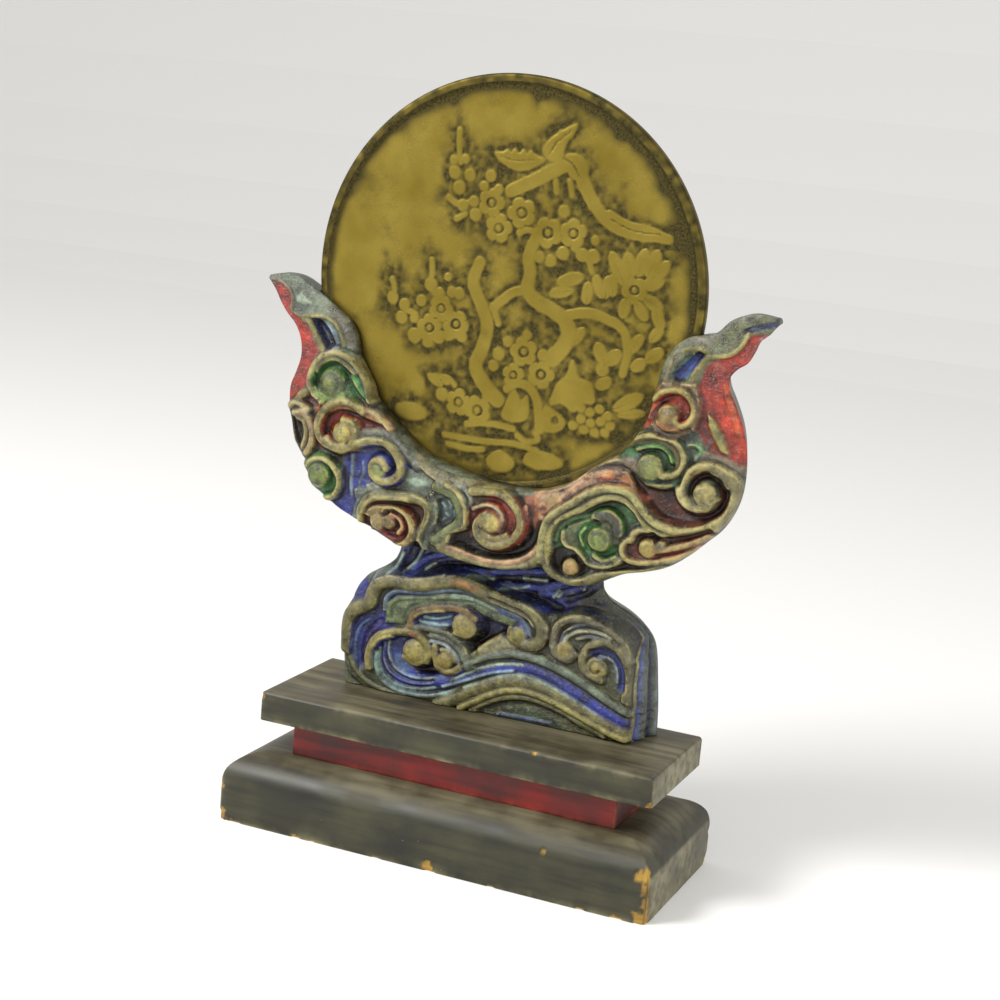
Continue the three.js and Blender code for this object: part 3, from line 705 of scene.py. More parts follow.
# %% Painting the crescent, middle
clouds.patch([(-35, -78), (-29, -80.5), (-22, -83), (-14, -84), (-10, -88), (-9, -95),
              (-12, -101), (-18, -107), (-24.5, -114), (-26, -107), (-21.8, -99), (-21.3, -92),
              (-26, -89.2), (-33, -87.6), (-40, -88.4), (-36, -84)], 0.2, "#6a786a")
clouds.patch([(-35, -83.5), (-31, -81.5), (-26.5, -82.3), (-24.5, -84.5), (-30, -86)], 0.6,
             "#9db3a6", 1.2)
clouds.patch([(-24, -82), (-17, -82.5), (-14.5, -84.5), (-20, -86.5)], None, "#6b614a", 1.2)
clouds.cord([(-31, -73.8), (-26, -77), (-20, -79.5), (-13, -81), (-6, -81.6), (4, -82)], 1.9, 1.6,
            "#8f8a6a")
clouds.cord([(-30.5, -75.5), (-25.5, -78.7), (-20, -81.4), (-14.5, -82.9)], 0.8, 2.1, "#a8a27c")
clouds.patch([(-20.3, -89.8), (-15.5, -87.8), (-11, -89), (-10, -95), (-12.5, -99.8),
              (-18.5, -102), (-20.4, -96)], -1.4, "#3a4d52")
for line in ([(-18.4, -91), (-17, -92.6)], [(-15.4, -90), (-14, -91.8), (-14.4, -93)],
             [(-16.6, -95), (-15, -96.4)], [(-18, -98.6), (-16.6, -97.4)],
             [(-12.6, -94), (-12, -96.8)]):
    clouds.cord(np.array(line), 0.35, -0.8, "#8fa9a5", 0.2)
clouds.cord([(-20, -84.2), (-13.7, -85.8), (-9.9, -89.5), (-8.1, -95), (-9.9, -99.5),
             (-14.5, -103), (-19.8, -107)], 2.6, 3.2, "#74804f", 2.4)
clouds.cord([(-15.5, -82.8), (-11, -84.4), (-8.1, -87.6), (-6.2, -91.5), (-5.5, -95.3),
             (-6.3, -98.9), (-9.4, -101.9), (-13.5, -104.3)], 1.1, 4.2, "#b3ab74")
clouds.cord([(-22.3, -88.3), (-20.9, -93), (-21.1, -99), (-23.3, -105), (-24.6, -112)], 1.6, 1.8,
            "#5f6f62")
clouds.patch([(-35, -118), (-33, -111.8), (-30, -109.2), (-27.3, -108.8), (-26.3, -111.5),
              (-26, -118)], -3.5, "#2a3270", 0.6)
clouds.cord([(-12, -82.6), (-7.5, -83.4), (-4.6, -86.4), (-3.6, -90)], 1.3, 2.6, "#8a9188")

# the red scroll in its dark trough
clouds.patch([(-13.8, -103.5), (-5.4, -100.3), (-4, -96), (-3.2, -90), (0, -86), (9, -82.6),
              (19, -84), (25, -90), (28, -94), (28, -101), (23, -107), (14, -110.4), (5, -111.4),
              (-5, -110), (-14.2, -108.6)], -2.6, "#2b2320")
clouds.patch([(-6, -101), (-1.5, -97.5), (-1.5, -103), (-5.6, -104)], -2.0, "#7c3226")
clouds.patch([(17, -83.2), (21.5, -82.6), (25.5, -82.4), (26, -88), (25.6, -92.5), (23.6, -97),
              (20.8, -91)], -0.6, "#8a5238", 1)
clouds.patch([(21.8, -83), (25.4, -82.6), (25.6, -91), (23.6, -89)], -0.2, "#b0714a", 0.8)
clouds.patch(ring(7.6, -94.6, 12.6), 0.2, "#9a3a2c", 1)
clouds.patch([(-4, -85), (3, -84), (1.6, -88.4), (-3, -89.6)], 0.4, "#5f4a2a", 0.8)
clouds.cord([(19.6, -87.6), (20.7, -93), (19.9, -98.3), (17, -102.6)], 1.0, 1.8, "#9a3526")
clouds.gouge(ring(8.4, -94.4, 7, -60, 200), 2.6, -0.6, "#a3402f", 2)
clouds.cord([(-4, -83.8), (2, -82.9), (7, -82.8), (11, -84), (15, -86.8), (17.8, -90.5),
             (18.7, -94.5), (17.8, -98.1), (15.4, -101.2), (12, -103.6), (7, -104.9), (3, -104),
             (0, -101.2), (-0.7, -97.5), (1, -94.3), (3.6, -92.4)], 1.8, 4.4, "#99905a")
clouds.cord([(1.6, -98.6), (4, -101.4), (8, -102), (12.6, -100.4)], 1.8, 3.6, "#8f8449")
clouds.boss(5.8, -95.4, 4.6, 5.4, "#bcae66")
clouds.boss(2.6, -96.8, 1.4, 5.0, "#6f6338")
clouds.cord([(-3, -91), (0, -89.4), (4, -88.6), (7.4, -89.6), (9.8, -91.8), (10.6, -95),
             (9.4, -98.6)], 0.8, 2.8, "#a9a294")
clouds.cord([(-13.9, -103.6), (-14.6, -106.5), (-16.8, -110)], 1.4, 3.2, "#7f7f52")
clouds.cord([(-17.5, -109), (-14, -111), (-5, -112.9), (2, -114.2), (10, -114.8), (17, -113.6),
             (22, -111.6), (26.6, -107.6), (28.8, -102)], 2.2, 3.2, "#96925f")
clouds.cord([(-13.4, -108.9), (-8, -109.8), (0, -111.5), (8, -112.1), (15, -111), (20.4, -108.9),
             (25, -105), (27.6, -100.5)], 1.2, 3.0, "#c39a7c")
print("raised above the bare face:", round(100 * float((clouds.level > 0).mean())), "%")

# %% Painting the crescent, right half
# the salmon band under the lip, flaked down to the red
clouds.patch([(20, -80.5), (27, -78.5), (33, -77.6), (38.5, -74.5), (42, -71), (47, -68.2),
              (52, -67.6), (60, -66.8), (64, -70), (67, -75.6), (61, -74.2), (53, -74.2),
              (46, -77.2), (40, -81.6), (33, -86.2), (29, -90.2), (27, -92), (25.5, -92.4),
              (24.6, -84)], 0.3, "#c49a74", 1)
clouds.patch([(52, -68.6), (60, -67.4), (64, -71), (62, -73.6), (55, -72.8)], None, "#c0804c",
             1.5)
clouds.patch([(27, -81), (33, -80.6), (33.6, -84), (28.6, -87)], None, "#c4a468", 1.5)
for x, z, r, paint in ((50, -72.2, 1.3, "#a8452f"), (53, -72, 1.4, "#a8452f"),
                       (56.4, -72, 1.1, "#a03a2a"), (38, -81.2, 1.6, "#6a4028"),
                       (36, -82.3, 1.1, "#6a4028"), (42, -78, 1.2, "#8f4f30"),
                       (44, -73, 1.0, "#a8683c"), (26.4, -87.5, 1.5, "#84472a"),
                       (27.6, -89.4, 1.0, "#6f3a24"), (34, -79.2, 0.9, "#9a6a44"),
                       (47.6, -75.4, 0.9, "#9c6440")):
    clouds.gouge([(x - r * 0.7, z - r * 0.2), (x + r * 0.7, z + r * 0.2)], r * 0.8, -0.2, paint,
                 0.4)
clouds.cord([(24, -80.2), (30, -78.8), (35, -76.8), (40, -72.8), (44, -69)], 1.0, 1.6, "#b5a284")
clouds.gouge([(44, -69.2), (50, -67.4), (57, -66.4), (63, -66.2)], 1.3, -1.0, "#5a4435")
clouds.cord([(43, -69.4), (48.6, -65.6), (55, -63.4), (62, -62.8)], 1.3, 1.8, "#a5937a")

# the dark channel and the long double ribbon that winds into the right scroll
clouds.patch([(62, -68), (66, -66), (70, -70.6), (80, -71.4), (85, -77.4), (90, -79.6), (96, -79),
              (99, -76.8), (100, -72), (98, -66.4), (92.5, -66.6), (90.4, -70), (91, -74),
              (88, -73.6), (87.6, -68), (90, -63.8), (96, -61.8), (101.6, -64), (104, -70),
              (104.4, -77), (101, -82), (95, -85), (88, -86.6), (80, -86), (74, -83.4),
              (70, -79.4), (66, -74.8)], -3.0, "#5c2a1a")
clouds.patch([(66.6, -75.2), (71.6, -76.8), (70.8, -79), (68.6, -78)], -1.2, "#a05a45", 0.8)
clouds.cord([(77, -84.8), (84, -85.2), (91, -84.2), (97, -82)], 1.1, -1.6, "#7c4030", 0.8)
ribbon = flow([(28, -108), (28, -100), (29.2, -93.5), (31.8, -89), (35.2, -86), (40, -82.7),
               (45, -78.8), (50, -76.2), (55, -75), (60, -74.8), (64.2, -76.4), (67.2, -79),
               (70, -82.3), (73.6, -85.3), (78, -87.3), (84, -88.1), (90, -87.6), (96, -85.6),
               (101.4, -81.8)])
beside = flow([(31, -106), (30.9, -99), (32.1, -94.4), (35, -90.4), (39.4, -87.3), (44.2, -84.7),
               (48.2, -81.7), (52.2, -79.4), (57, -78.3), (61.8, -79), (65.8, -82),
               (69.2, -86.2), (73, -89.2), (78, -90.9), (85, -91.4), (91, -90.4)])
clouds.cord((ribbon + beside[np.linspace(0, len(beside) - 1, len(ribbon)).astype(int)]) / 2, 2.4,
            2.4, "#6f6f40", 1.6)
clouds.cord(ribbon, 1.6, 4.2, "#a3a06a")
clouds.cord(beside, 1.3, 3.6, "#9c9658")
clouds.cord([(99.4, -84.6), (104.2, -79.6), (106.4, -73.6), (106.4, -68), (104.6, -64.4),
             (100.4, -62), (96, -60.8), (91.6, -61.2), (87.8, -63.6), (85.2, -67), (84.4, -71),
             (85.6, -74.6), (88.6, -76.8)], 2.3, 4.2, "#968f62", 2.0)
clouds.cord([(97, -61.4), (101.5, -63.6), (104.4, -67)], 2.6, 4.0, "#8a8766", 2.0)
clouds.cord([(94, -60.4), (90, -61.6), (86.6, -64.6), (84.6, -68.6), (84.4, -73), (87, -76.6),
             (91.6, -78), (95.6, -77), (98, -73.4)], 1.5, 4.8, "#b5ac78")
clouds.boss(94.4, -72.4, 4.8, 5.6, "#b3aa6c")
# a near-black spot for the hole beside the bulb is painted shade
clouds.boss(90.6, -72.4, 1.2, 0.5, "#2a241c")

# the green heart, the brown hollow and the red scroll below the ribbon
clouds.patch([(33, -102), (32.8, -96), (35.8, -91), (41, -88), (47, -85.4), (51, -81.8),
              (56.4, -79.8), (62, -80.6), (66, -83.4), (69, -87.6), (65, -90), (62, -95),
              (62, -103), (56, -108), (48, -107.4), (43, -103), (37, -102)], -0.6, "#1f6420")
clouds.patch([(62, -81.8), (66, -84), (68, -87.2), (64, -87.6), (60, -85)], None, "#468040", 1.2)
clouds.cord([(33.6, -99), (35.2, -93.6), (40, -89.6), (47, -86.8), (51.4, -84.2)], 0.9, 1.2,
            "#4a7a3c")
clouds.patch([(37, -96.6), (38.4, -92.2), (43, -90), (48, -87.8), (54, -84.6), (60, -86),
              (62, -91), (60.6, -98), (62.4, -101.6), (57, -105.6), (52, -107), (47, -105.6),
              (43.6, -101.8), (39, -100.6)], 1.6, "#59633a")
clouds.cord([(50.6, -87.4), (55, -85.8), (59, -88), (60, -92.6)], 2.4, 3.4, "#46473d", 1.6)
clouds.gouge([(50.6, -90.6), (46.4, -92.6), (44.4, -96), (46.2, -100), (50.4, -102.6),
              (56, -102.2), (60, -99.4)], 2.5, 0, "#2c8832", 2)
clouds.cord([(46, -92.4), (44, -95.6), (45.6, -99.6)], 0.8, 1.6, "#63a854")
clouds.boss(52.6, -95.8, 5.0, 4.8, "#7f9148", 2.6)
clouds.gouge(ring(52.8, -95.8, 2.8, 0, 240), 0.7, 4.2, "#5f6f38", 0.4)
clouds.cord([(37.2, -95.2), (37.3, -98.4), (39.5, -100.7), (42.7, -101.5), (45.2, -103.7),
             (47.8, -106.2), (52, -107.1), (58, -106.4), (62, -103)], 1.0, 3.2, "#9a9a6a")
clouds.cord([(50.6, -103), (54.8, -104.8), (60, -102.6)], 1.0, 2.8, "#8a9058")
clouds.patch([(31, -109), (32.6, -103), (36, -101.6), (42, -102.4), (46, -106), (48.4, -109.4),
              (46, -112.6), (40, -114), (34.6, -112.8)], -3.0, "#2c231d")
clouds.patch([(41.6, -102.6), (44.4, -104), (48, -108), (45, -108)], -0.6, "#5c5a40", 0.6)
clouds.boss(40.6, -109.6, 3.5, 2.4, "#b08f55")
clouds.cord([(29.4, -107.6), (30.8, -111.6), (34.2, -114.2), (40, -115.8), (46, -114.8),
             (52, -111.8), (58, -109.4), (64, -107.6), (71, -106.4), (79, -104.6)], 1.8, 3.2,
            "#7f7b48")
clouds.cord([(32, -115.4), (38, -117.2), (44, -117), (50, -114.6), (57, -111.4)], 1.2, 1.6,
            "#74714c")
clouds.patch([(55, -108.6), (60, -106.4), (65, -103.6), (76, -103.4), (72, -105.4), (62, -107.6)],
             -0.6, "#3f3c30", 0.8)
clouds.patch([(62, -98), (65.6, -92), (72, -89.8), (78, -91.6), (98, -87), (96, -93.4),
              (88, -99.6), (78, -102.6), (66, -103.4)], 0.2, "#8a6a44")
clouds.patch([(67, -93.8), (70, -91), (75, -90.2), (78, -92.4), (76.6, -94.6), (71, -94.6)], -1.6,
             "#47241c", 0.7)
clouds.patch([(64.2, -99), (66, -95.8), (69.6, -95.2), (72, -98), (72, -101.6), (67.5, -101.8)],
             0.4, "#9c3e28", 0.7)
clouds.gouge([(81, -92.6), (86, -91.7), (91, -90.2), (97, -87.8)], 1.4, -0.6, "#a3392a", 1)
clouds.gouge([(76, -99.8), (81, -98.7), (87, -96.6), (92, -93.9), (95.4, -91.6)], 1.8, -0.8,
             "#a33b2b", 1.2)
clouds.cord([(77, -97.4), (83, -95.5), (90, -92.9), (97, -89.2)], 1.3, 3.0, "#a08658")
clouds.cord([(65.6, -94.8), (66.6, -91.6), (69.2, -89.9), (72.6, -89.4)], 1.0, 3.6, "#a79c6c")
clouds.cord([(66.2, -93.6), (63, -96), (62.3, -99.2), (64, -102), (67.4, -103.1), (72, -102.9),
             (79, -101.2), (87, -98.4), (93, -94.6)], 1.2, 3.6, "#a0925e")
clouds.boss(73.2, -96.7, 3.8, 5, "#b8a556")
clouds.boss(78.2, -95, 1.9, 3.4, "#7d7450")

# the bright green scroll and the red one above it
clouds.patch([(56, -58.5), (60, -53.6), (66, -49.2), (74, -47.6), (86, -48.6), (92, -52),
              (92, -58), (86, -63), (84, -70), (78, -72.6), (68, -71.6), (60, -65)], 0.2,
             "#4b5f4d")
clouds.patch([(60, -54.6), (65, -50.2), (67, -50.6), (62, -55)], None, "#9db59a", 1)
clouds.patch([(56, -60.6), (62, -62), (67, -63.4), (66, -67.4), (60, -65.4)], 1.0, "#8a7a68")
clouds.patch([(57, -57.4), (65, -53.4), (74, -51.8), (81, -54), (84, -60), (81, -66), (77, -66.4),
              (79, -61), (74, -56), (64, -58)], 2.6, "#6e6a34")
clouds.gouge([(57.6, -60.4), (64, -58.8), (70, -57.2), (74.6, -57.2), (78, -59.6), (78.8, -63.6)],
             2.3, -0.4, "#176a1e", 2)
clouds.cord([(64.6, -57.8), (70, -56), (74.6, -55.8), (78, -58), (79.6, -61)], 0.9, 2.2,
            "#3fa84c")
clouds.boss(71, -64.4, 5.4, 4.8, "#7d8448", 2.8)
clouds.cord([(74.6, -64.6), (76.4, -67), (79.6, -66.4)], 1.5, 4.2, "#9a9356")
clouds.cord([(56, -57.8), (60, -55.3), (65, -53.1), (71, -51.6), (77, -51.9), (81.4, -54),
             (84.1, -57.5), (84.5, -61), (83.2, -64.2), (80.4, -66.4)], 1.2, 4.4, "#9c9159")
clouds.cord([(70, -70.6), (76, -71.2), (81, -69.6), (84, -65.6)], 1.2, 1.8, "#3f6a44")
# a bright green streak on the dark green beside the scroll is a painted highlight
clouds.cord([(85, -54), (88, -53.6), (90.6, -55.6), (88.6, -59.4)], 0.9, 1.2, "#7fae7c")
clouds.patch([(91, -55.6), (97, -54.4), (103, -57.4), (110, -60), (112, -66), (105, -62),
              (97, -58.6), (90.6, -59)], 1.2, "#7d7460")
clouds.patch(ring(77.6, -40.4, 11.6), 1.6, "#7d6648")
clouds.cord([(73.4, -30.8), (77, -31), (80, -29.6), (84, -30.2), (87, -33), (88.8, -37),
             (88.8, -42), (87, -46.6)], 1.8, 2.8, "#8f7a60")
clouds.cord([(62.6, -46), (65, -41), (68, -36.8), (71, -34)], 1.4, 2.4, "#a8803f")
clouds.gouge([(61.6, -49.4), (67, -46.6), (69, -42.6), (71.2, -39.4), (74.2, -37), (77.6, -36.2),
              (80.8, -37.6), (83, -40.4), (82.6, -43.6)], 2.3, 0, "#b0331c")
clouds.cord([(66.6, -45), (68.6, -41.4), (71, -38.6)], 1.0, 1.4, "#c4552e")
clouds.cord([(69.4, -37.2), (72.8, -34.2), (77, -32.8), (81, -33), (84.4, -35.3), (86.4, -38.5),
             (86.6, -42), (84.8, -45.1), (82, -46.5), (79.6, -45.4), (79.4, -43.4)], 1.2, 4.2,
            "#b0a05c")
clouds.boss(76.2, -43.2, 4.4, 4.8, "#97804a", 2.4)
clouds.cord([(72.6, -46), (76, -48), (80.6, -47.6)], 1.3, 3.6, "#a8683c")

# the right horn
clouds.patch([(66, -30), (70, -18), (80, -9), (92, -9), (100, 0), (118, 0), (118, -8),
              (109, -9.4), (104, -10), (102, -14.6), (98, -18), (90, -20.6), (86.4, -29),
              (80, -30)], 0.3, "#6f7358", 1)
clouds.patch([(111, -8.4), (106.4, -8.6), (103.8, -10.4), (102.4, -14), (99.6, -16.8),
              (96, -18.4), (91.6, -20.4), (88.8, -23), (87.6, -27), (86.6, -30), (88.6, -36),
              (89.2, -42), (87.4, -47.6), (91, -52), (95, -56), (101, -57), (107, -59.6),
              (116, -60), (116, -9)], -0.4, "#9a2c1c", 1)
clouds.patch([(93, -4), (99, 0), (112, 1), (106, -3), (99, -6), (93, -10), (84, -12.6),
              (78, -14.4), (74, -17), (78, -11)], None, "#83857a", 1.6)
clouds.patch([(90, -13), (97, -13), (101, -8), (103, -5), (99, -4), (94, -8)], None, "#6c7148", 2)
clouds.patch([(96, -27), (99, -28), (100, -33.6), (104, -40.6), (107.6, -47), (109, -57),
              (103.6, -57), (101, -52), (97.6, -46.6), (95, -41.6), (93.6, -34)], None, "#c23a1c",
             2)
# an orange line down the bright red is a painted highlight
clouds.cord([(97.6, -30), (99, -35), (102, -41), (104.6, -47.4)], 1.4, 0.5, "#c9572f", 0.8)
clouds.patch([(92, -21), (95, -21), (95, -23.6), (92, -23.6)], None, "#a85a50", 1)
clouds.patch([(91.6, -40.8), (94, -42), (97, -46), (99.8, -50.6), (102, -56.4), (98, -54.8),
              (95, -50.4), (92.4, -45.4)], 1.4, "#8f8a50")
clouds.patch([(89.6, -45), (92.4, -47.6), (95, -52), (94, -55.4), (91, -52.6)], -0.4, "#6e2c22")
clouds.gouge([(103.2, -7.7), (107, -6.2), (113, -4.2), (117, -3.4)], 1.3, -0.8, "#34396e", 1)
clouds.cord([(104, -8.6), (102.4, -12.5), (100, -15.6), (97, -17.5), (92, -18.6), (87.6, -19.4)],
            1.0, 1.0, "#a8a060")
clouds.cord([(78.6, -17.6), (84, -16), (89, -17)], 1.1, 0.9, "#9a9455")
clouds.patch([(82, -11.6), (89, -11.6), (93, -9.6), (91, -13), (84, -14.6)], None, "#8a8678", 1.5)
clouds.patch([(81.6, -18.8), (88, -18.8), (85.4, -22.6), (82.8, -27.2), (80.6, -29.2),
              (74.6, -28.6), (76.4, -24.8), (79, -21)], -1.6, "#5f7f7a", 0.9)
clouds.gouge([(85.4, -20), (81.6, -23.6), (78, -27.4)], 2.5, -3.2, "#3f52aa", 2.6)
clouds.cord([(88.6, -19.6), (86.4, -22.8), (84.2, -27), (84.6, -29.6)], 1.4, 0.9, "#8f8440")
clouds.cord([(75.4, -18.6), (74.2, -24), (72.6, -29)], 1.1, 0.6, "#9a9168")
print("levels from", round(clouds.level.min(), 1), "to", round(clouds.level.max(), 1), "mm")


# %% The crescent as a solid
def crescent():
    """A loop of points at each station. The face leaves the edges as a superellipse and has the
    relief added; the inner side drops into the groove; the back is a plainer superellipse."""
    level, dirt_and_shade, edge = wear_and_painted_light(clouds)
    full = fullness(face_x, face_z)
    front = 2.5 - 12 * full
    power = 2.2 + 2.5 * full
    dome = (1 - np.abs(2 * w - 1) ** power) ** (1 / power)
    # the relief fades out over 1.6 mm at both edges, and in the thin tips of the horns
    rim = np.minimum(np.linspace(0, 1, ACROSS), np.linspace(1, 0, ACROSS))[None] * 2
    width = np.hypot(stations[:, 2] - stations[:, 0], stations[:, 3] - stations[:, 1])[:, None]
    keep = ease(0, 1.6, rim * width / 2) * ease(2, 14, width)
    lip = DISC_FRONT - GROOVE_GAP
    side_y = (lip - 4 * full) + (lip - (lip - 4 * full)) * w
    face_y = side_y + (np.minimum(front, lip) - side_y) * dome - level * keep
    face_y = np.minimum(face_y, lip)
    face = np.stack([face_x, face_y, face_z], -1)

    inner = stations[:, 2:]
    out = np.maximum(1, GROOVE_RADIUS / np.hypot(*inner.T))[:, None]
    bed = inner * out
    lip_back = DISC_BACK + GROOVE_GAP
    steps = [(inner * 0.5 + bed * 0.5, lip), (bed, lip), (bed, (lip + lip_back) / 2),
             (bed, lip_back), (inner * 0.5 + bed * 0.5, lip_back), (inner, lip_back)]
    inner_side = np.stack([np.c_[xz[:, 0], np.full(ALONG, y), xz[:, 1]] for xz, y in steps], 1)

    v = np.linspace(1, 0, BACK_ROWS)[None, :]
    pull = (1 - v) * 5 * fullness(*stations[:, :2].T)[:, None] / width
    back_w = v + pull * (1 - v)
    back_x = stations[:, :1] + (stations[:, 2:3] - stations[:, :1]) * back_w
    back_z = stations[:, 1:2] + (stations[:, 3:4] - stations[:, 1:2]) * back_w
    back_full = fullness(back_x, back_z)
    back_dome = (1 - np.abs(2 * v - 1) ** 2.6) ** (1 / 2.6)
    back_y = lip_back + (np.maximum(8 + 12 * back_full, lip_back + 1) - lip_back) * back_dome
    uneven = clouding(np.c_[back_x.ravel(), back_z.ravel()], 9, 3).reshape(back_y.shape)
    back_y = back_y + uneven * 0.25
    plain = np.stack([back_x, back_y, back_z], -1)

    t = np.linspace(0, 1, SIDE_ROWS + 2)[1:-1][None, :, None]
    outer_side = plain[:, -1:] + (face[:, :1] - plain[:, -1:]) * t
    loop = np.concatenate([face, inner_side, plain[:, 1:], outer_side], 1)
    size = loop.shape[:2]

    back_tone = tone("#5d6555")
    paint = np.tile(back_tone, (*size, 1))
    paint[:, :ACROSS] = averaged(clouds.grid(clouds.paint), 1)
    fade = np.linspace(1, 0, SIDE_ROWS)[None, :, None]
    paint[:, -SIDE_ROWS:] = paint[:, :1] + (back_tone - paint[:, :1]) * fade
    deep, ridges_and_highlights, handled = np.zeros(size), np.zeros(size), np.full(size, BACK_HANDLED)
    # the carved face gets dark dirt and painted shade in its hollows, and rubbed paint with a
    # painted highlight on its ridges
    deep[:, :ACROSS], ridges_and_highlights[:, :ACROSS], handled[:, :ACROSS] = dirt_and_shade, edge, 1
    return carved("cloud_crescent", loop, CLOUD_CENTRE, paint, deep, ridges_and_highlights, handled)


finish_piece(crescent(), "painted_wood", "cloud_and_wave_carving")


# %% [markdown]
# ## The foot of waves
#
# The lower half of the carving is a block that grows wider towards the bottom. Its front carries
# a plate of waves, whose crests curl like the clouds, and above them runs the bare, painted neck
# that goes up behind the crescent. Every row of the grid is a level section of the block, so the
# rows stack up into a loft: the front is the relief, and the sides and the back are plain.

# %% The foot's form
FOOT = (2.0, 0.0, 57.0)
# height above the top board, and how far the block reaches to the left and to the right
WIDTHS = [(0, -66.5, 72.6), (6, -67, 72.4), (12, -67.6, 72.2), (19, -67.8, 71.6), (25, -68, 71),
          (31, -67.6, 70.4), (36, -66.8, 69.6), (40, -66, 68.3), (44, -64.2, 65.6), (47, -62, 62.4),
          (50, -59, 58), (54, -52.6, 50.5), (57, -48.8, 48), (60, -46.8, 47), (66, -45, 47),
          (74, -46, 48.6), (80, -44, 50.6)]
FRONT_RIGHT, TALL = 66.5, 80
FOOT_ROWS, FOOT_ACROSS = 200, 300
s = np.linspace(0, 1, FOOT_ACROSS)[None]
reaches = flow(WIDTHS)
heights = np.linspace(0, TALL, FOOT_ROWS)
left, right = (np.interp(heights, reaches[:, 0], reaches[:, i]) for i in (1, 2))
front_right = np.minimum(right, FRONT_RIGHT)
foot_x = left[:, None] + (front_right - left)[:, None] * s
FOOT_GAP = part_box("cloud_and_wave_carving")[0][2] / MM - FOOT[2]


def foot_height(x, height):
    """The bottom row is cut level although the block leans: z runs from its floor to TALL."""
    floor = (FOOT_GAP + x * math.sin(LEAN)) / math.cos(LEAN)
    return floor + (TALL - floor) * height / TALL


foot_z = foot_height(foot_x, heights[:, None])
NECK_FRONT, NECK_BACK = 8.0, 25.0
print("foot grid:", foot_x.shape, "from", round(foot_z.min(), 1), "to", TALL, "mm")

# %% Painting the waves, the neck and the rim
NAVY = "#1c2250"
waves = Relief(foot_x, foot_z, "#2b3388")
waves.patch([(36, 49), (44, 63), (50, 66), (62, 60), (76, 40), (76, 20), (62, 38), (48, 50)],
            None, "#4a4b42", 3)
# long flowing lines of water on the neck
for line in ([(-45, 50), (-41, 57), (-37, 66), (-33, 78)],
             [(-52, 48), (-47, 57), (-44, 66), (-41, 78)],
             [(-33, 54.5), (-26, 58.6), (-12, 61.6), (4, 60.6), (22, 64)],
             [(-8, 57.4), (2, 57.4), (14, 58.4), (24, 60.6), (40, 67)],
             [(0, 55), (12, 54), (22, 52.2), (31, 49.6)], [(34, 54), (42, 58.6), (50, 65)]):
    waves.gouge(line, 2.0, -1.6, NAVY, 1.8)
for line in ([(-38, 56), (-31, 62), (-22, 65.6)],
             [(-16, 59.2), (-4, 60.2), (8, 62.2), (22, 64.4)],
             [(4, 56), (14, 56.6), (24, 58), (36, 62.6)], [(22, 55), (30, 56.4), (40, 60)]):
    waves.cord(line, 1.7, 1.4, "#3040a4", 1.2)
for line in ([(-40, 56), (-36, 60), (-33, 66)], [(-47, 54), (-44, 58), (-42, 63)],
             [(-31, 57.6), (-27, 60.6)], [(5, 55.2), (12, 55.8), (17, 57.4)],
             [(-10, 58.4), (0, 58)], [(28, 54.4), (30.4, 57.6)], [(30, 54.8), (32, 57)],
             [(14, 60.4), (24, 60.8)]):
    waves.cord(line, 0.8, 1.5, "#9db8ae", 0.7)
waves.patch([(-58, 47), (-52, 52), (-46, 55), (-50, 58), (-60, 51)], None, "#6a7a78", 1.5)
for line in ([(42, 52), (50, 50), (58, 46), (65, 39)], [(46, 55), (54, 53), (62, 48), (70, 38)]):
    waves.gouge(line, 1.0, -0.6, "#23284a", 0.8)

# the plate of waves, its olive rim, and the blue channel inside the rim
waves.patch([(-72, -9), (-71, 20), (-69, 35), (-62, 40), (-56, 41.5), (-55.5, 47), (-51, 51.4),
             (-45, 54), (-33, 53.6), (-24, 56), (-15, 58.6), (-6, 57.8), (2, 54.6), (12, 52.6),
             (20, 50.6), (26, 47.6), (31, 48), (38, 50.4), (47, 50.4), (56, 48), (63, 43.6),
             (70, 34), (76, -9)], 4.6, "#4c5138", 1.6)
waves.patch([(-63.4, 9), (-63.4, 28), (-60, 32.6), (-54, 35), (-50, 40), (-48, 44), (-44, 46.4),
             (-32, 48), (-20, 51), (-8, 51.8), (4, 48.6), (14, 46), (20, 42), (20, 36), (10, 34),
             (-2, 38), (-40, 33), (-48, 26), (-53, 12), (-58, 8.6)], 3.2, "#303a94", 1.6)
waves.gouge([(-56.4, 13), (-57, 19), (-55, 26), (-50, 31.6)], 1.8, 2.0, "#41309c", 1)
waves.cord([(-61, 12.6), (-62, 20), (-60, 27.6), (-55.6, 32)], 0.9, 4.0, "#5f7fc4", 0.8)
waves.cord([(-66.2, 1), (-66, 10), (-65.8, 22), (-65.4, 30), (-62.6, 35), (-58, 38),
            (-54.6, 40.4), (-53.4, 44.4), (-51, 48.4), (-46.6, 50.6), (-40, 51.2), (-34, 51),
            (-28, 52), (-21, 54.4), (-14, 55.2), (-7, 54.4), (0, 52), (8, 50.2), (16, 48.4),
            (22, 45.8), (25.4, 41.6), (25.4, 37), (22.6, 33.8), (18.4, 32.8)], 3.1, 8.2,
           "#7d784a", 2.8)
for line in ([(-52, 50.2), (-46, 52.8), (-36, 53), (-28, 54.6), (-20, 57)],
             [(-67, 14), (-67, 28), (-63.6, 36)], [(-62, 36.6), (-56, 40.6)],
             [(4, 52.6), (14, 50.8), (22, 48), (27.4, 43), (28, 38)],
             [(12, 48.4), (19, 45.8), (22.4, 42)]):
    waves.cord(line, 0.9, 7.6, "#a8a276", 0.7)
waves.cord([(-15, 55.4), (-9.6, 55), (-4.4, 53.8)], 2.0, 8.4, "#a8773a", 2)
waves.gouge([(2, 51), (10, 49), (18, 46.6), (22.6, 42.4), (23, 38)], 0.7, 6.8, "#4a4a30", 0.6)
waves.gouge([(-63.8, 12), (-61.4, 6.6), (-56, 3.6), (-50, 1.6)], 1.0, 3.8, "#3a3d28")
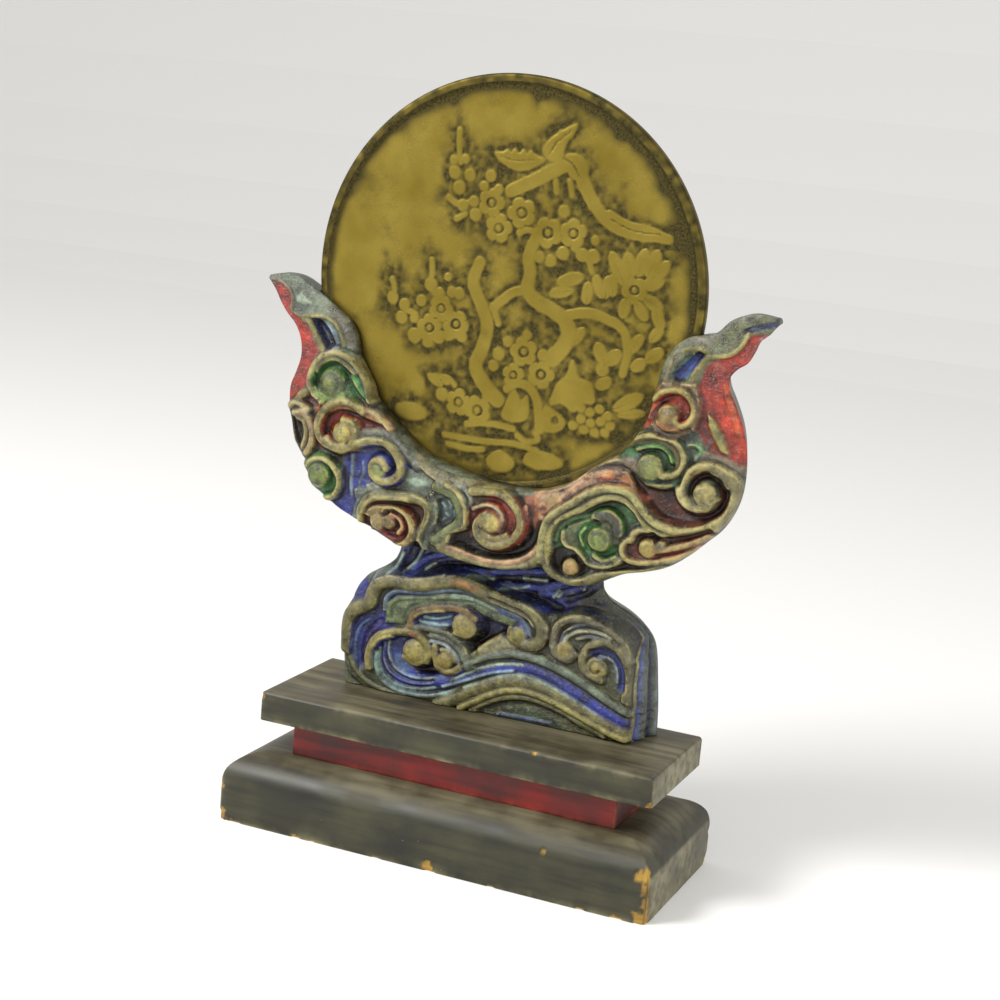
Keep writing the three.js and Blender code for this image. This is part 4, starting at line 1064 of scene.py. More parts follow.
waves.patch([(-63, 8), (-56, 10.6), (-51, 11), (-47.6, 6), (-40, 0), (-62, 0)], 5.0, "#565b3e",
            1.4)
print("raised above the bare block:", round(100 * float((waves.level > 0).mean())), "%")

# %% Painting the curls
# the green back of the big wave, and the first curl with its knob
waves.patch([(-47.5, 32), (-47, 41), (-42, 45), (-30, 46.6), (-20, 49.4), (-9, 50.2), (1, 47.6),
             (9, 44.6), (15, 43), (12, 39.6), (4, 40.6), (-1, 42), (-8, 45), (-20, 44.6),
             (-31, 41.4), (-35.4, 35.4), (-38, 32.6)], 5.9, "#687750", 1.4)
for line, paint in (([(-44, 35), (-43, 40.6), (-36, 43.6), (-26, 45.4)], "#4c5c3a"),
                    ([(-38, 35.6), (-36, 40), (-30, 43.4), (-18, 46.2), (-6, 47.4), (4, 44.6)],
                     "#4f6245"), ([(-16, 49), (-6, 49), (4, 46.2)], "#86a088")):
    waves.gouge(line, 1.0, 5.4, paint, 0.8)
waves.cord([(-47.6, 38), (-47, 43.4), (-42.6, 46.8), (-34, 47.8), (-26, 49), (-18, 51),
            (-9, 51.6), (0, 49.4), (8, 46.8), (14.6, 44.6), (18.6, 41.4), (20.4, 37.6)], 1.1, 6.0,
           "#6a7f96")
waves.cord([(6, 45.8), (12, 44.6), (16.6, 42), (18.8, 38.6)], 1.5, 5.8, "#3c55a0")
waves.patch([(-33.4, 33.2), (-31, 37.4), (-26, 39.4), (-19, 41), (-13, 41), (-15, 36), (-20, 34),
             (-27, 32.8)], 4.0, "#3a55a4", 1.2)
for line in ([(-31, 35.4), (-25, 35), (-18, 35.4)], [(-29, 37.4), (-23, 37.6), (-17, 39.4)]):
    waves.cord(line, 0.7, 4.9, "#9cc0c4", 0.6)
waves.patch([(-19, 33.2), (-14.4, 35.8), (-13, 34), (-15, 32.4)], 1.0, "#15110f", 0.8)
waves.patch([(-4, 40.6), (0, 40), (5.4, 39), (11, 37), (6, 34.4), (1, 31.6), (-3, 27.6),
             (-6.4, 25.6), (-9, 28), (-8, 31.4), (-3.6, 35)], -1.5, "#1f1716", 1.2)
waves.patch([(-3, 39.4), (5, 38.4), (6, 36), (0, 34), (-2.6, 36)], None, "#2a2d66", 1)
waves.cord([(-34.6, 32.6), (-34.4, 36), (-32.4, 39), (-28, 41.2), (-22, 42.8), (-15, 43.8),
            (-9.4, 43.2), (-5.4, 40.6)], 1.9, 7.4, "#80683a")
waves.cord([(-33.6, 36.4), (-30, 39.4), (-24, 41.2), (-19, 42)], 0.7, 7.4, "#b5a860", 0.7)
waves.boss(-10, 36.9, 5.6, 8.6, "#a59a5a", 3.4)
waves.cord([(-13.6, 33.2), (-8.6, 32.4), (-5.2, 35.4), (-5.6, 39)], 1.1, 7.2, "#958c54", 0.9)

# the olive block in the lower left corner
waves.patch([(-70, -2), (-70, 17), (-63, 15), (-58, 8), (-50, 3.4), (-42, 1.6), (-36, -2)], 4.2,
            "#5d6142", 1.6)
waves.cord([(-63, 14), (-59.6, 8), (-53, 3.6), (-44, 1.4), (-36, 0.4)], 1.2, 5.6, "#7f8258")
waves.gouge([(-66, 10), (-63, 5), (-57, 1.6)], 1.0, 3.4, "#474b32", 0.8)

# the second curl over its blue bowl, the dark hollow and the small curl beside it
waves.patch([(-52, 14), (-51, 21), (-47.6, 25.6), (-42, 27.6), (-34, 27.6), (-28, 22), (-28, 14),
             (-14, 16), (-6, 19), (-6, 12), (-22, 4.6), (-34, 2.4), (-44, 5), (-49.6, 9.6)], 3.0,
            "#2f3a9c", 1.6)
waves.patch([(-46, 11), (-42, 19), (-36, 18.6), (-33.4, 13.6), (-37, 10.6), (-42, 10)], None,
            "#5a74b4", 1.5)
bowl = [(-49.4, 20), (-49.4, 13.4), (-46.6, 8.2), (-41, 5.2), (-34, 4.4), (-26, 5.6), (-17, 9),
        (-8, 13.4)]
for shift, paint in ((0, "#7fa6a0"), (2.6, "#4456b8"), (5.2, "#86a4cc")):
    waves.cord([(x * (1 - shift / 60), z + shift) for x, z in bowl], 0.8, 4.4, paint, 0.7)
waves.cord([(-50.6, 18), (-50.6, 12.4), (-48, 7), (-42.6, 3.6), (-35, 2.4), (-26, 2.8),
            (-17, 5.6), (-8, 9.8), (0, 13.4)], 1.0, 5.6, "#93b0ac")
waves.patch([(-33.6, 14.6), (-30.6, 12), (-24, 12.4), (-19, 14.4), (-20.4, 17.4), (-22, 20),
             (-25, 17.8), (-29, 17)], -0.2, "#17100e", 0.9)
waves.cord([(-53.4, 11.4), (-53.8, 17), (-52.2, 22.4), (-48.6, 26.4), (-43.4, 28.6), (-37, 29.8),
            (-31.6, 29.4), (-27.6, 27), (-25.2, 22.6), (-26.4, 18.8)], 1.9, 7.6, "#99904f")
waves.cord([(-52.4, 20.4), (-48.6, 24.8), (-43, 27.2)], 0.7, 7.7, "#c0b468", 0.7)
waves.boss(-31.8, 21.6, 6.2, 8.4, "#9f954f", 3.6)
waves.cord([(-36.6, 19), (-32, 16.8), (-27.6, 18.4)], 1.4, 7.2, "#a89a54", 1.2)
waves.patch([(-36, 28.4), (-31, 28.4), (-30, 30.6), (-35, 30.8)], None, "#8f5a34", 0.7)
for line, width, paint in (([(-36, 32), (-26, 32.8), (-17, 31.6), (-11, 27.8), (-7.6, 22.6)], 1.6,
                            "#6f7560"), ([(-25, 30), (-18, 29.4), (-12, 26), (-9, 21.6)], 1.3,
                                         "#6a7468"), ([(-24.6, 27.6), (-18, 27), (-13, 23.6),
                                                       (-11.2, 20.6)], 0.9, "#9aa9b4")):
    waves.cord(line, width, 6.6, paint)
waves.cord([(-22.6, 25.4), (-22, 20.6), (-20.6, 17), (-17.4, 15.6), (-13.6, 16.2), (-10.6, 18.4)],
           1.5, 7.4, "#9a8c4c")
waves.boss(-17.4, 20.4, 4.0, 8.2, "#ab9a4a", 2.6)
waves.cord([(-19.4, 24.6), (-15, 24), (-12.6, 20.6)], 1.1, 6.8, "#8a7f48")

# the third curl hangs from the rim; the fourth and the fifth face it
waves.cord([(24, 35), (19.6, 32.6), (14.6, 32.8), (11.6, 35.6), (12, 39.4)], 1.5, 7.4, "#8a8148")
waves.boss(15.2, 37, 4.3, 8.2, "#8f8a4c", 2.6)
waves.patch([(30, 24), (30, 42), (35, 48), (43, 50), (52, 48.5), (62, 43), (65.5, 34), (65.5, 12),
             (52, 18), (40, 23.4)], 5.0, "#575a40", 1.6)
waves.cord([(65, 34), (61.4, 41), (54, 46), (46, 48.2), (38.4, 47.6), (33, 44.4), (31.2, 39),
            (31.2, 34.4), (33.6, 30.8), (38, 30.2), (41, 33)], 1.8, 7.6, "#77735a")
for line, width, paint in (([(58, 44), (50, 46), (42, 45.4), (36.4, 42), (34.4, 37.6)], 1.0,
                            "#4b566a"), ([(57, 42.6), (49, 43.6), (42, 42.8), (37.4, 40),
                                          (35.8, 37.6)], 0.9, "#a3a896"),
                           ([(54, 41), (47, 41.2), (41.4, 39.6)], 0.8, "#59606a")):
    waves.cord(line, width, 6.6, paint)
waves.boss(36.6, 34, 4.3, 8.0, "#978a4e", 2.8)
waves.cord([(64.2, 14), (64.6, 24), (63.4, 33), (59.4, 38.4), (53.6, 40.2), (48, 38),
            (44.8, 33.6), (44.8, 28.6), (48, 24.6), (53, 24)], 1.9, 7.8, "#77734e")
waves.gouge([(61.8, 21.6), (61.4, 28), (58.6, 33.4), (53, 35.6), (48.6, 34.6)], 2.0, 4.0,
            "#34439c")
waves.cord([(60, 24), (59.4, 29.4), (56.4, 33), (51.6, 33.8)], 0.8, 5.6, "#7f96b4")
waves.boss(51, 28.6, 5.0, 8.4, "#9a8f50", 2.8)
waves.gouge(coil(51, 28.6, 3.6, 1.6, 40, 0.8), 0.6, 7.2, "#6f6940", 0.4)
print("raised above the bare block:", round(100 * float((waves.level > 0).mean())), "%")

# %% Painting the long swells that run down to the right
waves.patch([(-6, 24.6), (0, 30), (7, 35.4), (12, 33.4), (17, 30.6), (28, 30.4), (42, 26),
             (54, 20.6), (66, 14), (66, -2), (-20, -2), (-14, 6), (-8, 16)], 4.8, "#6f7048", 1.6)
waves.patch([(-4, 28), (6, 34.8), (11, 33.6), (15, 31), (6, 28), (-2, 25)], 6.2, "#93906a", 1.6)
swells = [
    ([(-7, 19.4), (0, 23.4), (8, 26.8), (16, 28.2), (24, 28), (32, 26.2), (40, 23.6), (48, 20),
      (56, 15.6), (66, 10.6)], 2.3, 7.4, "#728072", 2),
    ([(-20, 9.8), (-12, 12.4), (-4, 16.4), (4, 19.6), (12, 22.2), (20, 23), (28, 21.6), (36, 18.8),
      (44, 15.4), (52, 11.8), (60, 8.6), (66, 6.8)], 2.7, 6.0, "#2d389a", 1.8),
    ([(-18, 8.6), (-10, 12), (-2, 15.8), (6, 19), (14, 21)], 0.7, 6.4, "#8fb0d0", 0.6),
    ([(-14, 12), (-6, 16.8), (2, 20.8), (10, 23.4), (18, 24.4)], 0.7, 6.3, "#9fb8b0", 0.6),
    ([(-8, 9.8), (0, 13.6), (7, 17), (14, 19), (20, 19.6), (28, 18.2), (36, 15.6), (46, 11.4),
      (56, 7)], 0.8, 6.8, "#93aa9a", 0.8),
    ([(-20, 0), (-12, 4), (-4, 9), (3, 12.8), (10, 15.6), (18, 16.8), (26, 16), (34, 13.8),
      (44, 10), (54, 6), (66, 2)], 2.8, 7.6, "#757041", 2.2),
    ([(-9, 1), (-1, 6), (7, 10.4), (14, 12.8), (21, 13.4), (29, 12.2), (37, 10), (46, 6.8),
      (58, 2.4), (66, 0.4)], 1.3, 8.4, "#a59d5c", 1.1),
    ([(-4, 0.6), (4, 5.6), (12, 9.4), (20, 10.4), (28, 9.8), (36, 7.6), (46, 4), (56, 0.6)], 1.4,
     7.4, "#77774a", 1.2),
]
for line, width, top, paint, drop in swells:
    waves.cord(line, width, top, paint, drop)
waves.gouge([(-3, 20.4), (4, 23.6), (12, 25.6), (20, 25.8), (28, 24.4), (38, 21), (48, 16.8),
             (58, 12.2), (66, 9)], 0.7, 5.2, "#2b3040", 0.6)
waves.gouge([(0, 1), (7, 4.8), (14, 7.2), (22, 8), (30, 6.8), (38, 4.4), (46, 1)], 1.0, 4.6,
            "#2f3420", 0.8)
waves.patch([(3, -2), (10, 3.8), (18, 6), (27, 5.6), (35, 3), (42, -2)], 5.2, "#4a5a44", 1.2)
waves.cord([(8, 0.9), (20, 1.2), (32, 0.9)], 0.8, 6.0, "#4a5c8c", 0.7)
print("levels from", round(waves.level.min(), 1), "to", round(waves.level.max(), 1), "mm")


# %% The foot as a solid
# the side from front to back: how far along, its paint, and how far it stands out in mm
FLUTES = [(0, "#8d8a5c", 0), (0.1, "#a39a62", 0.5), (0.2, "#33409a", -0.6),
          (0.3, "#5a6aa6", -0.2), (0.42, "#5f6650", 0.7), (0.52, "#5a604c", 0.6),
          (0.6, "#1f2650", -0.7), (0.75, "#222a55", -0.8), (0.84, "#66705e", 0.4),
          (0.92, "#6f7f8c", 0.3), (1, "#4f5850", 0)]
FLUTE_ROWS = 40


def round_off(into, corner):
    """How far a rounded edge lies back at a distance into it: corner - root(corner^2 - short^2),
    where short is what is left of the corner."""
    short = np.clip(corner - into, 0, corner)
    return corner - np.sqrt(np.clip(corner ** 2 - short ** 2, 0, None))


def foot():
    """A loop of points at each height: the relief, then a fluted side, the back, and the other
    side. The back bulges a little below the shoulder and is drawn in above it."""
    level, dirt_and_shade, edge = wear_and_painted_light(waves)
    into = np.minimum(foot_x - left[:, None], front_right[:, None] - foot_x)
    face = np.stack([foot_x, NECK_FRONT - level + round_off(into, 3.0), foot_z], -1)
    back_y = NECK_BACK + 4 * (1 - ease(40, 58, heights)) - 11 * ease(50, 74, heights)
    across = np.linspace(1, 0, 40)
    back_into = (0.5 - np.abs(across - 0.5))[None] * (right - left)[:, None]
    back_x = left[:, None] + (right - left)[:, None] * across
    back = np.stack([back_x, back_y[:, None] - round_off(back_into, 6.0),
                     foot_height(back_x, heights[:, None])], -1)
    t = np.linspace(0, 1, FLUTE_ROWS + 2)[1:-1]
    places, codes, depths = zip(*FLUTES)
    groove = np.interp(t, places, depths)[None] * ease(78, 60, heights)[:, None]
    bands = np.stack([np.interp(t, places, channel) for channel in
                      np.array([tone(code) for code in codes]).T], -1)
    right_side = face[:, -1:] + (back[:, :1] - face[:, -1:]) * t[None, :, None]
    right_side[..., 0] += groove
    left_side = back[:, -1:] + (face[:, :1] - back[:, -1:]) * t[None, :, None]
    left_side[..., 0] -= groove[:, ::-1] * 0.8
    loop = np.concatenate([face, right_side, back, left_side], 1)
    size = loop.shape[:2]
    on_right, on_left = slice(FOOT_ACROSS, FOOT_ACROSS + FLUTE_ROWS), slice(-FLUTE_ROWS, None)

    paint = np.tile(tone("#4a524a"), (*size, 1))
    paint[:, :FOOT_ACROSS] = averaged(waves.grid(waves.paint), 1)
    paint[:, on_right], paint[:, on_left] = bands, bands[::-1]
    shoulder = ease(44, 52, heights)[:, None, None]
    for part in (on_right, on_left):
        paint[:, part] += shoulder * (tone("#565a46") - paint[:, part])
    deep, ridges_and_highlights, handled = np.zeros(size), np.zeros(size), np.full(size, BACK_HANDLED)
    # the carved face gets dark dirt and painted shade in its hollows, and rubbed paint with a
    # painted highlight on its ridges
    deep[:, :FOOT_ACROSS], ridges_and_highlights[:, :FOOT_ACROSS], handled[:, :FOOT_ACROSS] = dirt_and_shade, edge, 1
    # the flutes' grooves are darkened a little, as painted shade
    deep[:, on_right] = deep[:, on_left] = np.clip(-groove, 0, 1) * 0.4
    handled[:, on_right] = handled[:, on_left] = 1
    return carved("wave_foot", loop, FOOT, paint, deep, ridges_and_highlights, handled)


finish_piece(foot(), "painted_wood", "cloud_and_wave_carving")


# %% [markdown]
# ## The bronze mirror
#
# The disc was cast in a mould, back and picture together, with a raised rim. The mould-maker cut
# the picture flat: every motif stands at one height, and the ground round it is punched down
# into rough grains, which the patina has darkened. So the relief needs only one rule: the ground
# sinks next to a motif and comes back up to the field a few millimetres away from it.

# %% Cast bronze
def cast_bronze():
    """Old bronze: a metal, yellow-brown where it is rubbed and dark where patina has stayed. Its
    tone changes over patches 17 mm wide. The grain of the casting is 0.9 mm, coarser than the
    real one, so that it shows."""
    made, tree, shader = new_material("cast_bronze")
    place = node(tree, "ShaderNodeTexCoord").outputs["Object"]
    patina = node(tree, "ShaderNodeAttribute", attribute_name="patina").outputs["Fac"]
    patchy, fine = (node(tree, "ShaderNodeTexNoise", {"Vector": place, "Scale": 1 / (size * MM),
                                                      "Detail": detail})
                    for size, detail in ((16.7, 6), (0.91, 3)))
    bright = node(tree, "ShaderNodeValToRGB", {"Fac": patchy},
                  [(0.3, "#7c6b2a"), (0.7, "#93813a")])
    dull = node(tree, "ShaderNodeValToRGB", {"Fac": fine}, [(0.3, "#2e2a1a"), (0.7, "#564d2c")])
    # the grain makes the patina's border ragged: patina + 0.6 (grain - 0.5)
    grain = node(tree, "ShaderNodeMath", {0: fine, 1: -0.5}, operation="ADD")
    ragged = node(tree, "ShaderNodeMath", {0: grain, 1: 0.6, 2: patina},
                  operation="MULTIPLY_ADD")
    stain = node(tree, "ShaderNodeMapRange", {"Value": ragged, "From Min": 0.05,
                                              "From Max": 0.8})
    colour = node(tree, "ShaderNodeMix", {0: stain, 6: bright, 7: dull},
                  data_type="RGBA").outputs[2]
    gloss = node(tree, "ShaderNodeMapRange", {"Value": stain, "To Min": 0.44, "To Max": 0.62})
    bump = node(tree, "ShaderNodeBump", {"Height": fine, "Strength": 0.2, "Distance": 0.2 * MM})
    connect(tree, shader, {"Base Color": colour, "Metallic": 1.0, "Roughness": gloss,
                           "Normal": bump})
    return made


BRONZE = cast_bronze()
print("cast bronze:", len(BRONZE.node_tree.nodes), "nodes")


# %% The square grid squeezed into a disc
DISC_SIZE = 289
# mm: the rim's width, how deep the field lies below it, and how far the grid stops from the edge
RIM, SUNK, EDGE_GAP = 3.2, 1.2, 0.02


def disc_grid(size, radius):
    """Squares become rings: a point (u, v) of the square goes to the ring r = max(|u|, |v|), at
    the angle (pi / 4) v / u of its own quarter, so that no point is a pole."""
    u, v = np.meshgrid(*[np.linspace(-1, 1, size)] * 2)
    r = np.maximum(np.abs(u), np.abs(v))
    wide = np.abs(u) >= np.abs(v)
    safe = np.where(r > 0, r, 1)
    near = np.pi / 4 * np.where(wide, v, u) / safe * np.sign(np.where(wide, u, v) + (r == 0))
    angle = np.where(wide, np.where(u >= 0, near, near + np.pi),
                     np.where(v >= 0, np.pi / 2 - near, -np.pi / 2 - near))
    return radius * r * np.cos(angle), radius * r * np.sin(angle), radius * r


disc_x, disc_z, disc_r = disc_grid(DISC_SIZE, MIRROR_RADIUS - EDGE_GAP)
print("disc grid:", disc_x.shape, "steps of", round(2 * MIRROR_RADIUS / (DISC_SIZE - 1), 2), "mm")

# %% The picture's motifs
at = np.stack([disc_x.ravel(), disc_z.ravel()], 1)
motif = np.full(len(at), -9.0)


def stand(inner_distance):
    """Join one more motif: the distance inside its edge, negative outside, largest wins."""
    np.maximum(motif, inner_distance, out=motif)


def stroke(points, width, end=None):
    """A line of a given half width that can narrow or widen evenly to its end."""
    line = flow(points, per=5)
    for a, b, t in zip(line[:-1], line[1:], np.linspace(0, 1, len(line) - 1)):
        half = width + ((width if end is None else end) - width) * t
        along = np.clip((at - a) @ (b - a) / max((b - a) @ (b - a), 1e-9), 0, 1)
        stand(half - np.hypot(*(at - a - along[:, None] * (b - a)).T))


def shape(points, smooth=True):
    """A flat motif inside a closed outline."""
    line = flow(points, closed=True, per=5) if smooth else np.array(points + points[:1], float)
    low, high = line.min(0) - 9, line.max(0) + 9
    ids = np.flatnonzero(((at > low) & (at < high)).all(1))
    d = reach(at[ids], line)
    motif[ids] = np.maximum(motif[ids], np.where(inside(at[ids], line), d, -d))


def blossom(x, z, r, turn=0):
    """Five round petals with notches between them, r (0.68 + 0.34 root |cos(5 a / 2)|), a sunk
    ring in the middle and a small raised eye."""
    dx, dz = at[:, 0] - x, at[:, 1] - z
    a, d = np.arctan2(dz, dx), np.hypot(dx, dz)
    outer_edge = r * (0.68 + 0.34 * np.sqrt(np.abs(np.cos(2.5 * (a - turn))))) - d
    stand(np.where(d < 0.4 * r, 0.17 * r - d, np.minimum(outer_edge, d - 0.46 * r)))


def leaf(x0, z0, x1, z1, half):
    """A pointed leaf: a curve on each side from the stalk to the tip, with a sunk middle vein."""
    along = np.array([x1 - x0, z1 - z0])
    length = np.hypot(*along)
    t = ((at - (x0, z0)) @ along) / length ** 2
    side = np.abs((at - (x0, z0)) @ np.array([-along[1], along[0]])) / length
    body = half * 2 * np.sqrt(np.clip(t * (1 - t), 0, None)) - side
    beyond = np.clip(np.maximum(-t, t - 1), 0, None) * length
    stand(np.where(beyond > 0, -np.hypot(beyond, side), np.minimum(body, side - 0.25 + t * 0.4)))


# the bird: two wings with feathers, a body, a long tail and its feet
shape([(-8.8, 53), (-6.4, 50.4), (-2.4, 48), (2, 46.8), (6, 47.4), (10, 49.2), (13, 51.6),
       (9, 53.2), (7, 54.8), (5.4, 53.4), (3.6, 55), (2, 53.4), (0, 54.8), (-1.6, 53.4),
       (-3.4, 54.6), (-5.4, 53.4)])
shape([(12.4, 54.4), (13, 57.4), (15.6, 60.6), (19, 63), (22.6, 65), (26, 66.4), (24.6, 62.4),
       (22, 59.4), (21, 55.6), (21, 52.4), (16, 51.4)])
stroke([(-0.6, 38.4), (5, 41.2), (11, 44.2), (17, 47.6), (22, 50.4), (27, 51.4)], 2.4, 2.8)
shape([(22, 53.6), (27, 54.6), (31, 51.6), (31.6, 46.6), (28.4, 44.4), (24, 46.8)])
stroke([(28.6, 48), (31.6, 41.6), (37, 34), (44.4, 28), (54, 25.4), (62, 25.2), (67.6, 24.6)],
       2.7, 1.7)
stroke([(42, 32.4), (50, 29), (60, 27.6), (66, 26)], 1.5, 0.8)
stroke([(18.4, 43.6), (19, 39.4)], 0.9)
stroke([(24.4, 44), (25.8, 38.8)], 0.9)
# sunk lines that part the feathers
for points in ([(-6, 52), (0, 50.6), (8, 51.4)], [(15, 54.4), (18, 59), (23.4, 63.6)],
               [(21, 53), (25, 51), (28.6, 46)], [(43, 30.6), (52, 27), (64, 26.2)]):
    d = reach(at, flow(points))
    motif[:] = np.where(d < 0.45, -0.3, motif)

# the plum tree: trunk, branches, twigs
stroke([(11.5, 20), (9, 13), (10, 6), (9.4, 0), (13, -4.6), (20, -7.6), (26.4, -11.4),
        (28.4, -16.4), (26.6, -22), (22, -27.4)], 2.2, 3.2)
stroke([(9, -0.6), (3, -2.4), (-1.6, -6), (-5, -9.2)], 1.7)
stroke([(-5.4, -8.8), (-4, -12), (-2.6, -15.6)], 1.1)
stroke([(3, -42), (6.6, -39.4), (11.4, -39.6), (15.4, -43), (17.6, -49), (18.6, -57)], 1.5, 1.8)
stroke([(-12.4, 8.4), (-14.8, 0), (-10.8, -8.5), (-7.4, -16.5), (-8.9, -26), (-11.5, -34),
        (-7, -41.5), (-1, -47)], 2.2, 3)
stroke([(28, -9), (36, -7.4), (44, -9), (51.5, -12.8), (54, -21), (52.8, -30)], 1.9, 1.5)
for points in ([(-24.8, 61), (-24.6, 54), (-23.5, 48)], [(-51.6, -2), (-50.4, -5.6), (-50.8, -9)],
               [(-34, 7.6), (-33.6, 3), (-33.8, -2)], [(-34, -3), (-30, -8)],
               [(-45, -14), (-40, -15.4)], [(4, 22), (8, 23.4), (11.5, 22)],
               [(28, 18), (34, 14.4), (36.6, 9)], [(-28, 33.6), (-23, 31), (-18.6, 32.6)],
               [(-24, 25.4), (-20, 27.6)], [(-30, -40.6), (-24, -40.4), (-20.4, -43)]):
    stroke(points, 1.0, 0.8)
for x, z, r in ((-26, 44, 2.4), (-19, 43.4, 2.2), (-9.8, 43.6, 2.2), (-12.6, 39.4, 1.8),
                (-6, 38.6, 1.8), (-23.5, 38, 2.5), (-16.6, 33, 2), (-26.6, 49, 1.6),
                (-21.6, 49.6, 1.7), (22.8, 32, 2.2), (-21.5, 31, 2.2), (-15.6, 27.6, 2.4),
                (32, 15.4, 2.5), (23.6, 15.4, 2.5), (36.6, 15.2, 2.6), (13.5, 13, 2.1),
                (18.6, 12, 2.2), (-33.8, -2.6, 2.6), (-29.8, -5.7, 2.2), (-24.2, -4.8, 2),
                (-20.8, -5, 2.2), (-37.8, -9.6, 2.1), (-45.5, -12, 2.3), (-51, -9.6, 2.4),
                (-46.4, -17.4, 2.4), (-40, -24.4, 2.9), (-33.8, -26.4, 2.2), (-29, -23.8, 2.6),
                (-24.4, -22.4, 2.4), (-18.6, -22.6, 2.2), (-26.4, 1.2, 1.5), (-40.6, -17, 1.8),
                (37, 21.6, 1.6), (-1.6, -28, 2.4), (-3.6, -33, 2), (2, -22.6, 2),
                (18, -26.4, 2.2), (-26, -47.6, 2.6), (-24.4, -41.6, 1.8), (-5.6, -46.4, 1.8),
                (10.6, -19, 1.7)):
    stand(r - np.hypot(at[:, 0] - x, at[:, 1] - z))
for i, (x, z, r) in enumerate(((-8.8, 33, 5.6), (4.6, 30, 6), (-5, 23, 5.6), (16.5, 23, 6),
                               (27.4, 23.6, 5.6), (-21.6, -17.8, 5.6), (-33.5, -20.5, 5.4),
                               (-28.6, -12, 5.2), (9.4, -26, 5.8), (17.6, -34.4, 5.6),
                               (-9.6, -52.4, 5.8), (-18.4, -50, 5.4), (55, 3.5, 5.2),
                               (5.5, -36, 4.6))):
    blossom(x, z, r, i * 0.7)
for one in ((53, 8, 51, 18, 2.6), (56, 9, 58.6, 20, 2.6), (60, 9, 64, 20, 2.6),
            (60, 6, 68.6, 16, 2.6), (58, 5, 67, 8.4, 2.3), (59, 1, 67, -3, 2.4),
            (56, -1, 61, -8, 2.2), (51, 5, 44, 17.6, 2.7), (52, 0, 50.6, -8, 2.3),
            (42, -1, 38, 8, 2.2), (43, -1, 43.6, 8, 2.0), (46, 0, 45.4, 9, 2.0),
            (35, -4, 35.4, 5, 2.2), (33, 7, 22, 3.4, 2.4), (29, 1, 19, -1.4, 2.0),
            (45, -27, 40.6, -19, 2.6), (45, -27, 51.4, -21.4, 2.6), (45, -27, 43, -32, 2.4),
            (48, -33, 42, -37, 2.2), (56, -28, 62, -24, 2.2), (54, -22, 60, -14, 2.2),
            (64, -2, 67.6, -11, 2.3), (63, -16, 68, -10, 2.0), (62, -24, 69, -19, 2.4),
            (31, -20.4, 34.8, -13.6, 1.8), (50, -45, 62, -38, 2.6), (52, -47, 64, -45, 1.6),
            (-26, -44, -33, -40, 1.6)):
    leaf(*one)

# rocks, pebbles and the banks at the foot of the picture
shape([(2, -54), (3.4, -47), (6.4, -42), (9.6, -46), (12.4, -44), (13, -52), (9, -55)])
shape([(22.6, -46), (24.8, -38), (28.6, -34), (31, -27), (34, -33.6), (39.6, -36), (41.4, -43),
       (36, -44.4), (33, -48), (27, -45)])
shape([(19, -52), (20.4, -47.4), (24, -48.4), (29, -51.6), (28, -56), (21, -57.4)])
d = np.hypot(at[:, 0] - 25, at[:, 1] + 52.4)
motif[:] = np.where(d < 2, np.minimum(motif, d - 2), motif)
stand(3.6 * (1 - np.hypot((at[:, 0] + 40) / 7, (at[:, 1] + 56.5) / 3.6)))
shape([(-4, -72.4), (1, -68), (5.6, -69.6), (8.4, -73), (5, -76.6), (-1, -76.6)])
shape([(14, -67.4), (20, -66), (28, -68), (29, -71.6), (21, -73.6), (13, -72)])
for points in ([(-14, -58.6), (-4, -57.4), (7, -58.2)],
               [(-24, -64.4), (-8, -65), (8, -64.4), (18, -66)],
               [(-22, -68.2), (-12, -69), (-6, -68.4)],
               [(9, -60.6), (13, -63), (18, -61.4), (17, -58.6)]):
    stroke(points, 1.0)
for x, z in ((36, -46), (40, -47.4), (44, -45.6), (47.6, -48), (36.4, -50.4), (40.6, -51.6),
             (44.8, -50.6), (49, -52), (38, -54.8), (42.6, -55.4), (47, -55), (33, -53.6)):
    stand(1.9 - np.hypot(at[:, 0] - x, (at[:, 1] - z) * 1.15))
print("motifs cover", round(100 * float((motif > 0).mean())), "% of the grid")

# %% The disc as a solid
# the back: the radius of each ring, and how far it lies in front of the back plane, in mm
BACK_RINGS = [(MIRROR_RADIUS - EDGE_GAP, 0.5), (MIRROR_RADIUS - 0.5, 0), (84, 0), (81, 0),
              (80.4, 0.3), (60, 0.3), (40, 0.3), (20, 0.3), (3, 0.3)]
BACK_PATINA = 0.45


